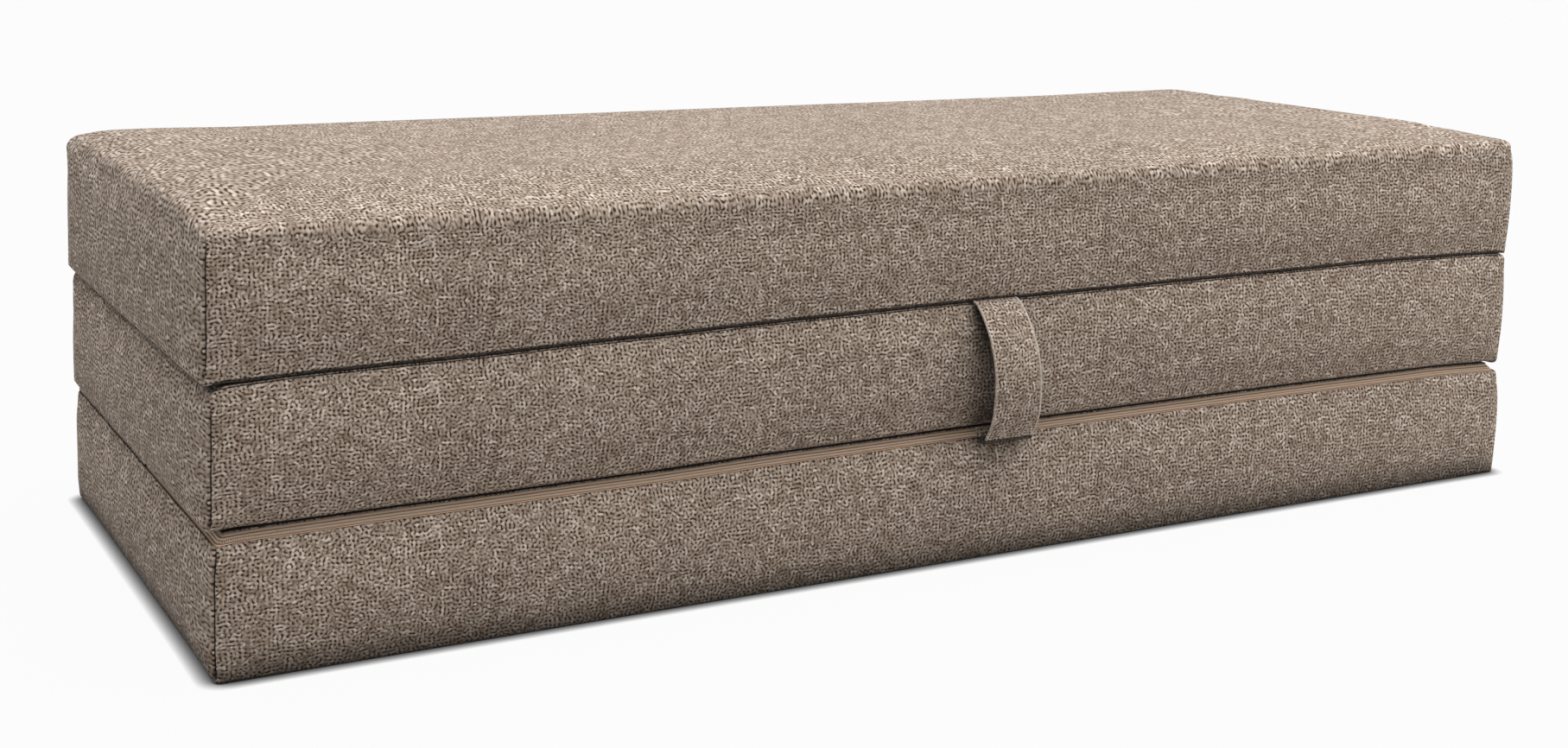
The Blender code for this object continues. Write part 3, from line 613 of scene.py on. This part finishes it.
def hold_seams(skin, base, join, zip_boxes, free_top):
    """Hold what is sewn or pressed flat while the skin fills. Gives the points on seams and the slot's rim."""
    hold = skin.vertex_groups.new(name="hold")
    top = base + section_height
    seamed = []
    rims = set()
    for vert in skin.data.vertices:
        x, y, z = vert.co
        corner_x = half_length - abs(x)
        corner_y = half_depth - abs(y)
        on_corner = abs(corner_x - corner_y) < same_place and corner_x < seam_side
        on_seam = on_corner and base + seam_foot < z < top - seam_head
        if on_seam:
            seamed.append(vert.index)
        flat_face = z < base + face_slack or (not free_top and z > top - face_slack)
        in_zip = any(inside(vert.co, box, same_place) for box in zip_boxes)
        if in_zip and any(abs(z - low[2]) < same_place for low, high in zip_boxes):
            rims.add(vert.index)
        held = flat_face or in_zip or on_seam or abs(z - join) < same_place
        hold.add([vert.index], 1.0 if held else loose_hold, "REPLACE")
    return seamed, rims


def seam_tops(seamed):
    """The upper end of each corner's seam."""
    tops = []
    for sign_x in (-1, 1):
        for sign_y in (-1, 1):
            seam = [spot for spot in seamed if spot.x * sign_x > 0 and spot.y * sign_y > 0]
            tops.append(max(seam, key=lambda spot: spot.z))
    return tops


def fill_out(bm, rest, normals, pulled, seamed, rims, tops, join, base):
    """Move the skin to where the filling presses it, no further in than its foam, and draw its seams in, with
    painted shade down the seams and along the zip slot's rim.
    """
    painted_shade = bm.verts.layers.float.new("painted_shade")
    crease = bm.edges.layers.float.new("crease_edge")
    for edge in bm.edges:
        if edge.verts[0].index in seamed and edge.verts[1].index in seamed:
            edge[crease] = 1.0
    for vert in bm.verts:
        normal = normals[vert.index]
        move = pulled[vert.index] - rest[vert.index]
        inward = move.dot(normal)
        if inward < -foam_backing:
            move -= normal * (inward + foam_backing)
        if move.length > fullness_cap:
            move *= fullness_cap / move.length
        place = rest[vert.index] + move
        # Painted shade along the zip slot's rim and down the corner seams.
        if vert.index in rims:
            vert[painted_shade] = rim_shade
        if vert.index in seamed:
            place -= normal * seam_depth
            vert[painted_shade] = 1.0
        elif abs(rest[vert.index].z - join) < same_place:
            place -= normal * hem_depth
        for top in tops:
            place -= normal * pucker_depth * math.exp(-((rest[vert.index] - top).length / pucker_reach) ** 2)
        vert.co = settled(place, base)


def part_piece(name, bm, number):
    """A cloth piece from the faces of one part of the skin."""
    shell = bm.copy()
    part = shell.faces.layers.int["part"]
    bmesh.ops.delete(shell, geom=[face for face in shell.faces if face[part] != number], context="FACES")
    piece = place_object(name, shell, weave)
    smooth = piece.modifiers.new("smooth", "SUBSURF")
    smooth.levels = 1
    smooth.render_levels = 1
    wall = piece.modifiers.new("cloth", "SOLIDIFY")
    wall.thickness = cloth_thickness
    wall.offset = -1.0
    return piece


def sew_cover(section, base, lower, upper, join, zip_boxes, free_top):
    """Make a section's cover and panel from one tight skin. join is the height of the seam between them."""
    bm = rounded_block(base, lower, upper)
    cut_skin(bm, base, max(*lower, *upper, grid_margin), join, zip_boxes)
    cut_corners(bm, base)
    mark_parts(bm, join, zip_boxes, free_top)
    bm.normal_update()
    lay_weave(bm, base, upper)
    skin = place_object(section + "_skin", bm, weave)
    seamed, rims = hold_seams(skin, base, join, zip_boxes, free_top)
    rest = [vert.co.copy() for vert in skin.data.vertices]
    normals = [vert.normal.copy() for vert in skin.data.vertices]
    pulled = pull_tight(skin)
    bm = bmesh.new()
    bm.from_mesh(skin.data)
    bpy.data.objects.remove(skin, do_unlink=True)
    tops = seam_tops([rest[place] for place in seamed]) if free_top else []
    fill_out(bm, rest, normals, pulled, set(seamed), rims, tops, join, base)
    for number, name in ((COVER, "cover"), (PANEL, "panel")):
        piece = part_piece(f"{section}_woven_{name}", bm, number)
        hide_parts(f"{section}_{name}")
        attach(piece, section + "_section")
    bm.free()


def pull_tight(skin):
    """Fill a skin from inside with cloth simulation, and give back where its points come to rest."""
    scene = bpy.context.scene
    scene.frame_set(1)
    cloth_sim = skin.modifiers.new("fill", "CLOTH")
    settings = cloth_sim.settings
    settings.quality = 5
    settings.mass = 0.3
    settings.tension_stiffness = 20
    settings.compression_stiffness = 20
    settings.shear_stiffness = 8
    settings.bending_stiffness = 1.0
    settings.use_pressure = True
    settings.uniform_pressure_force = sim_pressure
    settings.effector_weights.gravity = 0.0
    settings.vertex_group_mass = "hold"
    settings.pin_stiffness = 1.0
    cloth_sim.collision_settings.use_collision = False
    cloth_sim.point_cache.frame_end = sim_frames
    for number in range(1, sim_frames + 1):
        scene.frame_set(number)
    filled = skin.evaluated_get(bpy.context.evaluated_depsgraph_get())
    places = [vert.co.copy() for vert in filled.data.vertices]
    skin.modifiers.remove(cloth_sim)
    scene.frame_set(1)
    return places


side_run = 0.300
slot_margin = 0.030
end_draw = 0.001
top_rim = 0.0127
side_end = side_run - half_depth
slot_end_x = half_length - slot_margin
slot_end_y = half_depth - slot_margin
left_rim = zip_rim + end_draw - half_length
right_rim = half_length - zip_rim - end_draw

bottom_join = section_height - flap_rim
bottom_zip_boxes = (
    ((-far, -far, bottom_join), (far, zip_rim - half_depth, far)),
    ((-far, -far, bottom_join), (left_rim, side_end, far)),
    ((right_rim, -far, bottom_join), (far, side_end, far)),
)
middle_top = stack_levels[1] + section_height
middle_join = middle_top - 0.002
middle_zip_boxes = (((right_rim, -slot_end_y, middle_top - flap_rim), (far, slot_end_y, far)),)
top_join = stack_levels[2] + 0.0015
top_zip_boxes = (((-slot_end_x, half_depth - top_rim, stack_height - top_rim), (slot_end_x, far, far)),)

# Radii of the lower and the upper edges, each at the front, back, left and right
bottom_lower, bottom_upper = (0.004, 0.006, 0.006, 0.006), (0.014, 0.003, 0.015, 0.014)
middle_lower, middle_upper = (0.012, 0.003, 0.003, 0.004), (0.0045, 0.005, 0.016, 0.014)
top_lower, top_upper = (0.003, 0.005, 0.003, 0.003), (0.012, 0.022, 0.015, 0.012)
sew_cover("bottom", stack_levels[0], bottom_lower, bottom_upper, bottom_join, bottom_zip_boxes, False)
sew_cover("middle", stack_levels[1], middle_lower, middle_upper, middle_join, middle_zip_boxes, False)
sew_cover("top", stack_levels[2], top_lower, top_upper, top_join, top_zip_boxes, True)


# Zips.
# Closed coil zips in tan woven tape: two moulded nylon coils stitched to the tapes' facing edges and hooked
# together. The tapes are sewn behind the covers' turned edges, so the zip lies in a slot on the rounded edge.

tape_colour = "FFD8BA"
upper_tape_painted_tone = "E8D0B8"
coil_gap_shade_colour = "8A664C"
coil_bed_colour = "D2B094"
coil_colour = "FFE6CE"
rib_pitch = 0.0009
rib_share = 0.6
rib_painted_shading = (0.86, 1.06)
rib_depth = 0.0001
coil_bed_half = 0.0032
coil_gap_place = 0.0034
coil_gap_fade = (0.0003, 0.0006)
tape_depth = 0.0006
tape_behind = (0.0035, 0.0018, 0.0)
tape_inner = ((-0.0050, 0.0003), (-0.0034, 0.0003), (-0.0024, 0.0))
coil_pitch = 0.0016
coil_bead = (0.00062, 0.00150, 0.00080)
coil_hook = 0.92
coil_out = 0.0005
coil_start = 0.0042
coil_end = 0.0082
rail_step = 0.020
turn_radius = 0.006
turn_steps = 6

zip_tape, tree = start_material("woven_zip_tape")
# Polyester tape woven with fine ribs along its length, and painted shade as a dark line in the narrow gap
# where the coil begins.
lie = add_node(tree, "UVMap", uv_map="strip")
split = add_node(tree, "SeparateXYZ", {0: lie})
rib = add_node(tree, "Math", {0: split.outputs[1], 1: 2 * math.pi / rib_pitch}, operation="MULTIPLY")
rib = add_node(tree, "Math", {0: rib}, operation="SINE")
pick = add_node(tree, "Math", {0: split, 1: 2 * math.pi / rib_pitch}, operation="MULTIPLY")
pick = add_node(tree, "Math", {0: pick}, operation="SINE")
grain = add_node(tree, "Math", {0: rib, 1: pick}, operation="MULTIPLY")
height = add_node(tree, "Math", {0: rib, 1: rib_share, 2: grain}, operation="MULTIPLY_ADD")
# Painted shade and highlight: the colour follows the ribs' relief, darker in their grooves and lighter on
# their tops.
tone = add_node(tree, "MapRange",
                {0: height, 1: -1.0 - rib_share, 2: 1.0 + rib_share, 3: rib_painted_shading[0], 4: rib_painted_shading[1]})
near_coil = add_node(tree, "Math", {0: split.outputs[1]}, operation="ABSOLUTE")
# Painted shade: a dark line in the gap beside the coil.
off_coil_gap = add_node(tree, "Math", {0: near_coil, 1: coil_gap_place}, operation="SUBTRACT")
off_coil_gap = add_node(tree, "Math", {0: off_coil_gap}, operation="ABSOLUTE")
line = add_node(tree, "MapRange", {0: off_coil_gap, 1: coil_gap_fade[0], 2: coil_gap_fade[1]})
bed = add_node(tree, "Math", {0: near_coil, 1: coil_bed_half}, operation="LESS_THAN")
# Painted light: the two tapes are one cloth, but the upper one gets a tone of its own to match how the light
# falls on it in the slot.
above = add_node(tree, "Math", {0: split.outputs[1], 1: 0.0}, operation="GREATER_THAN")
ground = add_node(tree, "Mix",
                  {0: above, 6: linear(tape_colour), 7: linear(upper_tape_painted_tone)}, data_type="RGBA")
ground = add_node(tree, "Mix", {0: bed, 6: ground.outputs[2], 7: linear(coil_bed_colour)}, data_type="RGBA")
dyed = add_node(tree, "Mix", {0: line, 6: linear(coil_gap_shade_colour), 7: ground.outputs[2]}, data_type="RGBA")
colour = add_node(tree, "VectorMath", {0: dyed.outputs[2], "Scale": tone}, operation="SCALE")
dent = add_node(tree, "Bump", {"Height": height, "Distance": rib_depth, "Strength": 0.7})
surface = add_node(tree, "BsdfPrincipled",
                   {"Base Color": colour, "Roughness": 0.8, "Specular IOR Level": 0.3,
                    "Normal": dent})
add_node(tree, "OutputMaterial", {"Surface": surface})

zip_coil, tree = start_material("moulded_nylon_coil")
# Spun nylon wire, smooth and a little waxy, so each loop carries a small soft highlight.
surface = add_node(tree, "BsdfPrincipled",
                   {"Base Color": linear(coil_colour), "Roughness": 0.42, "IOR": 1.53})
add_node(tree, "OutputMaterial", {"Surface": surface})


def zip_rail(corners):
    """Frames along a zip, each a place, the way forward and the distance run. The corners are rounded."""
    points = [Vector(corners[0])]
    for before, corner, after in zip(corners, corners[1:], corners[2:]):
        corner = Vector(corner)
        come = (corner - Vector(before)).normalized()
        leave = (Vector(after) - corner).normalized()
        centre = corner - come * turn_radius + leave * turn_radius
        for step in range(turn_steps + 1):
            angle = 0.5 * math.pi * step / turn_steps
            points.append(centre - leave * turn_radius * math.cos(angle)
                          + come * turn_radius * math.sin(angle))
    points.append(Vector(corners[-1]))
    fine = [points[0]]
    for start, end in zip(points, points[1:]):
        count = max(1, round((end - start).length / rail_step))
        fine += [start.lerp(end, place / count) for place in range(1, count + 1)]
    rail = []
    run = 0.0
    for number, point in enumerate(fine):
        ahead = fine[min(number + 1, len(fine) - 1)]
        behind = fine[max(number - 1, 0)]
        rail.append((point, (ahead - behind).normalized(), run))
        run += (ahead - point).length
    return rail


def off_rail(point, forward, across, outward, base):
    """A point beside the rail: across towards the face above, and outward off the tape."""
    up = Vector((0.0, 0.0, 1.0))
    out = forward.cross(up)
    slant = math.sqrt(0.5)
    return settled(point + (up - out) * slant * across + (up + out) * slant * outward, base)


def draw_sheet(bm, lines):
    """Draw a sheet out from one row of points through those that follow. Gives its rows of corners."""
    row = [bm.verts.new(spot) for spot in lines[0]]
    edges = [bm.edges.new(pair) for pair in zip(row, row[1:])]
    rows = [row]
    for spots in lines[1:]:
        drawn = bmesh.ops.extrude_edge_only(bm, edges=edges)["geom"]
        fresh = {item for item in drawn if isinstance(item, bmesh.types.BMVert)}
        edges = [item for item in drawn if isinstance(item, bmesh.types.BMEdge)
                 and item.verts[0] in fresh and item.verts[1] in fresh]
        row = [next(edge.other_vert(vert) for edge in vert.link_edges if edge.other_vert(vert) in fresh)
               for vert in row]
        for vert, spot in zip(row, spots):
            vert.co = spot
        rows.append(row)
    bmesh.ops.recalc_face_normals(bm, faces=bm.faces)
    return rows


def place_sheet(name, bm, material, thickness):
    """An object from a sheet, with half its thickness on each side."""
    sheet = place_object(name, bm, material)
    wall = sheet.modifiers.new("thickness", "SOLIDIFY")
    wall.thickness = thickness
    wall.offset = 0.0
    return sheet


def sweep_tape(name, rail, profile, base):
    """A strip of tape along the rail, with its ribs laid along it."""
    bm = bmesh.new()
    uv = bm.loops.layers.uv.new("strip")
    rows = draw_sheet(bm, [[off_rail(point, forward, across, outward, base) for across, outward in profile]
                           for point, forward, _ in rail])
    lie = {vert: (run, across) for row, (_, _, run) in zip(rows, rail)
           for vert, (across, _) in zip(row, profile)}
    for face in bm.faces:
        for loop in face.loops:
            loop[uv].uv = lie[loop.vert]
    return place_sheet(name, bm, zip_tape, tape_depth)


def along_rail(rail, distance):
    """The place at a distance along the rail, and the way forward there."""
    for (point, forward, run), (after, _, run_after) in zip(rail, rail[1:]):
        if run_after >= distance:
            share = (distance - run) / (run_after - run)
            return point.lerp(after, share), (after - point).normalized()
    return rail[-1][0], rail[-1][1]


def lay_zip(section, base, corners, radius, half_slot):
    """Two tapes and the hooked coils between them, up to where the slider waits at the end."""
    rail = zip_rail(corners)
    drop = math.sqrt(radius ** 2 - half_slot ** 2)
    reaches = [half_slot + behind for behind in tape_behind]
    lower = [(-reach, math.sqrt(max(0.0, radius ** 2 - reach ** 2)) - drop) for reach in reaches]
    lower += tape_inner
    upper = [(-across, outward) for across, outward in lower]
    for name, profile in (("lower", lower), ("upper", upper)):
        tape = sweep_tape(f"{section}_{name}_tape_woven", rail, profile, base)
        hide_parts(f"{section}_zip_{name}_tape")
        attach(tape, section + "_section")
    bm = bmesh.new()
    along, across, outward = coil_bead
    count = int((rail[-1][2] - coil_start - coil_end) / coil_pitch)
    for number in range(2 * count):
        side = 1 if number % 2 else -1
        point, forward = along_rail(rail, coil_start + number * coil_pitch / 2)
        place = off_rail(point, forward, side * across * coil_hook, coil_out, base)
        slant = off_rail(point, forward, 1.0, 0.0, base) - off_rail(point, forward, 0.0, 0.0, base)
        slant.normalize()
        off = forward.cross(slant)
        turn = Matrix((forward * along, slant * across, off * outward)).transposed()
        bmesh.ops.create_icosphere(bm, subdivisions=1, radius=1.0,
                                   matrix=Matrix.Translation(place) @ turn.to_4x4())
    coil = place_object(section + "_coil_hooked", bm, zip_coil)
    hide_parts(section + "_zip_teeth")
    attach(coil, section + "_section")


# A zip's inset from the edge, the radius that its tapes bend round behind the cover, and half its slot
zip_inset, zip_bend, zip_half_slot = 0.006876, 0.0119, 0.0064
top_inset, top_bend, top_half_slot = 0.008853, 0.0198, 0.0071
zip_x = half_length - zip_inset - end_draw
zip_y = half_depth - zip_inset
zip_z = section_height - zip_inset
middle_z = stack_levels[1] + zip_z
top_y = half_depth - top_inset
top_z = stack_height - top_inset
bottom_route = ((-zip_x, side_end, zip_z), (-zip_x, -zip_y, zip_z), (zip_x, -zip_y, zip_z),
                (zip_x, side_end, zip_z))
middle_route = ((zip_x, -slot_end_y, middle_z), (zip_x, slot_end_y, middle_z))
top_route = ((slot_end_x, top_y, top_z), (-slot_end_x, top_y, top_z))
lay_zip("bottom", stack_levels[0], bottom_route, zip_bend, zip_half_slot)
lay_zip("middle", stack_levels[1], middle_route, zip_bend, zip_half_slot)
lay_zip("top", stack_levels[2], top_route, top_bend, top_half_slot)


# Sliders, pull tabs and stops.
# Die-cast zinc, tumbled smooth and stove enamelled in a brown to go with the tape.

enamel_colour = "8C6F58"
enamel_roughness = (0.30, 0.42)
casting_scale = 900.0

enamel, tree = start_material("enamelled_zinc")
# Thin enamel over cast zinc: a soft metallic gloss, with the faint swell of the casting below it.
where = add_node(tree, "TexCoord")
swell = add_node(tree, "TexNoise",
                 {"Vector": where.outputs["Object"], "Scale": casting_scale, "Detail": 2.0})
dent = add_node(tree, "Bump", {"Height": swell, "Distance": 0.0001, "Strength": 0.25})
tone = add_node(tree, "MapRange", {0: swell, 3: enamel_roughness[0], 4: enamel_roughness[1]})
surface = add_node(tree, "BsdfPrincipled",
                   {"Base Color": linear(enamel_colour), "Metallic": 0.6, "Roughness": tone,
                    "Normal": dent})
add_node(tree, "OutputMaterial", {"Surface": surface})

for section in ("bottom", "middle", "top"):
    for name in ("slider", "pull", "start_stop", "lower_end_stop", "upper_end_stop"):
        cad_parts[f"{section}_zip_{name}"].material_slots[0].material = enamel


# Fold strips.
# A folded strip of the cover cloth, sewn along the front of the upper fold and the back of the lower one.
# It joins two sections and lets them open like a book.

strip_reach = half_length - 0.009
strip_leg = 0.0012
strip_flap = 0.014
strip_thickness = 0.0008
strip_axis_out = 0.0007
strip_tuck = 0.0010
strip_rows = 120
front_fold_height = 0.2881
back_fold_height = 0.1437

front_axis = Vector((0.0, -half_depth - strip_axis_out, front_fold_height))
back_axis = Vector((0.0, half_depth + strip_axis_out, back_fold_height))


def fold_strip(name, axis, facing, rise, node):
    """An L of cloth along the fold: one leg on a section's face, the other between the sections."""
    bm = bmesh.new()
    tuck = -facing * strip_tuck
    profile = [(tuck, rise * strip_leg), (tuck, rise * strip_leg * 0.66), (tuck, rise * strip_leg * 0.33),
               (tuck, rise * 0.0006), (tuck - facing * 0.0002, rise * 0.0002), (tuck - facing * 0.0010, 0.0),
               (-facing * strip_flap * 0.5, 0.0), (-facing * strip_flap, 0.0)]
    # Painted shade along the strip's leg and fold, where it lies deep in the crease between the sections.
    painted_crease_shade = (0.9, 1.0, 1.0, 1.0, 1.0, 0.8, 0.0, 0.0)
    uv = bm.loops.layers.uv.new("weave")
    painted_shade = bm.verts.layers.float.new("painted_shade")
    base = stack_levels[2] if rise > 0 else stack_levels[0]
    lines = []
    for number in range(strip_rows + 1):
        x = -strip_reach + 2 * strip_reach * number / strip_rows
        lines.append([settled(axis + Vector((x, y, z)), base) for y, z in profile])
    for row in draw_sheet(bm, lines):
        for vert, crease in zip(row, painted_crease_shade):
            vert[painted_shade] = crease
    for face in bm.faces:
        for loop in face.loops:
            x, y, z = loop.vert.co
            loop[uv].uv = (x, z + abs(y))
    strip = place_sheet(name, bm, weave, strip_thickness)
    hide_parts(node)
    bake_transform(strip)


fold_strip("front_fold_cloth", front_axis, -1, 1, "front_fold_strip")
fold_strip("back_fold_cloth", back_axis, 1, -1, "back_fold_strip")


# Strap handle.
# A strip of the cover cloth, folded in from both sides and topstitched, sewn into the seams above and below
# the middle section's front. It stands away from the face, so that a hand fits behind it.

strap_left = 0.0005
strap_right = 0.0566
strap_lean = 0.0056
strap_spread = 0.0036
strap_rings = 150
strap_look = 0.004
strap_cloth_offset = 5.0
strap_turn = 0.1402
strap_tail = 0.0190
tail_shade = 0.35
# The strap's middle line from its upper seam: how far out it stands from the face, and how high
strap_line = (
    (0.0012, 0.2876), (0.006, 0.2862), (0.013, 0.2808), (0.0225, 0.2700), (0.0315, 0.2560),
    (0.0386, 0.2400), (0.0432, 0.2220), (0.0446, 0.2050), (0.0430, 0.1860), (0.0395, 0.1680),
    (0.0330, 0.1530), (0.0268, 0.1445), (0.0250, 0.1416), (0.0238, 0.1390), (0.0222, 0.1366),
    (0.0196, 0.1358), (0.0150, 0.1385), (0.0080, 0.1445), (0.0022, 0.1490),
)
# Its section: a share of the half width, a height off the middle line, and a painted highlight, or below 0 a
# painted shade
strap_profile = (
    (-1.0, 0.0004, 0.6), (-0.985, 0.0014, 0.6), (-0.95, 0.0016, 0.5), (-0.91, 0.0013, 0.0),
    (-0.88, 0.0009, 0.0), (-0.86, 0.0012, 0.0), (-0.5, 0.0014, 0.0), (0.0, 0.0015, 0.0),
    (0.5, 0.0014, 0.0), (0.84, 0.0012, 0.0), (0.86, 0.0009, 0.0), (0.88, 0.0013, 0.1),
    (0.91, 0.0016, 0.8), (0.965, 0.0015, 0.8), (1.0, 0.0004, -0.5), (1.0, -0.0004, -0.7),
    (0.985, -0.0012, 0.0), (0.87, -0.0010, 0.0), (0.0, -0.0012, 0.0), (-0.87, -0.0010, 0.0),
    (-0.985, -0.0012, 0.0), (-1.0, -0.0004, 0.4),
)
profile_middle = 7


def curve_between(before, start, end, after, part):
    """A value on the smooth curve from start to end that is led by the values on either side."""
    return 0.5 * (2 * start + (end - before) * part
                  + (2 * before - 5 * start + 4 * end - after) * part ** 2
                  + (3 * start - before - 3 * end + after) * part ** 3)


def strap_place(share):
    """A place along the strap's line by share of its length, and the length up to there."""
    runs = [0.0]
    for (y0, z0), (y1, z1) in zip(strap_line, strap_line[1:]):
        runs.append(runs[-1] + math.hypot(y1 - y0, z1 - z0))
    goal = share * runs[-1]
    last = len(strap_line) - 1
    knot = next((place for place in range(last) if runs[place + 1] >= goal - 1e-9), last - 1)
    part = (goal - runs[knot]) / (runs[knot + 1] - runs[knot])
    spots = [strap_line[min(max(knot + step, 0), last)] for step in (-1, 0, 1, 2)]
    out, height = (curve_between(*values, part) for values in zip(*spots))
    return Vector((0.0, -half_depth - out, height)), goal


def strap_ring(bm, share):
    """A ring of corners round the strap at a share of its length, each with its place on the flat cloth."""
    spot, run = strap_place(share)
    ahead, _ = strap_place(min(1.0, share + strap_look))
    behind, _ = strap_place(max(0.0, share - strap_look))
    facing = (ahead - behind).normalized().cross(Vector((1.0, 0.0, 0.0))).normalized()
    half = (strap_right - strap_left) / 2 + strap_spread * share
    ring = []
    for across, raised, _ in strap_profile:
        x = strap_left + strap_lean * share + half * (1.0 + across)
        vert = bm.verts.new(spot + Vector((x, 0.0, 0.0)) + facing * raised)
        ring.append((vert, (x, run + strap_cloth_offset)))
    return ring


bm = bmesh.new()
uv = bm.loops.layers.uv.new("weave")
painted_highlight = bm.verts.layers.float.new("painted_highlight")
painted_shade = bm.verts.layers.float.new("painted_shade")
rings = [strap_ring(bm, step / strap_rings) for step in range(strap_rings + 1)]
bm.faces.new([vert for vert, _ in rings[0]])
for ring, following in zip(rings, rings[1:]):
    for place in range(len(ring)):
        other = (place + 1) % len(ring)
        bm.faces.new((ring[place][0], ring[other][0], following[other][0], following[place][0]))
bm.faces.new([vert for vert, _ in reversed(rings[-1])])
# Painted shade on the turned-under end and the tucked tail, where the strap lies in shadow, and painted
# highlight and shade along its folded edges from the profile.
for number, ring in enumerate(rings):
    middle = ring[profile_middle][0].co
    turned = middle.z < strap_turn
    tucked = not turned and number > strap_rings / 2 and -middle.y - half_depth < strap_tail
    for (vert, _), (_, _, painted_light) in zip(ring, strap_profile):
        vert[painted_highlight] = 0.0 if turned or tucked else max(0.0, painted_light)
        vert[painted_shade] = 1.0 if turned else tail_shade if tucked else max(0.0, -painted_light)
lie = {vert: flat for ring in rings for vert, flat in ring}
for face in bm.faces:
    for loop in face.loops:
        loop[uv].uv = lie[loop.vert]
bmesh.ops.recalc_face_normals(bm, faces=bm.faces)
strap = place_object("strap_handle_sewn", bm, weave)
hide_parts("strap_handle")
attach(strap, "middle_section")
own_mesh(strap)
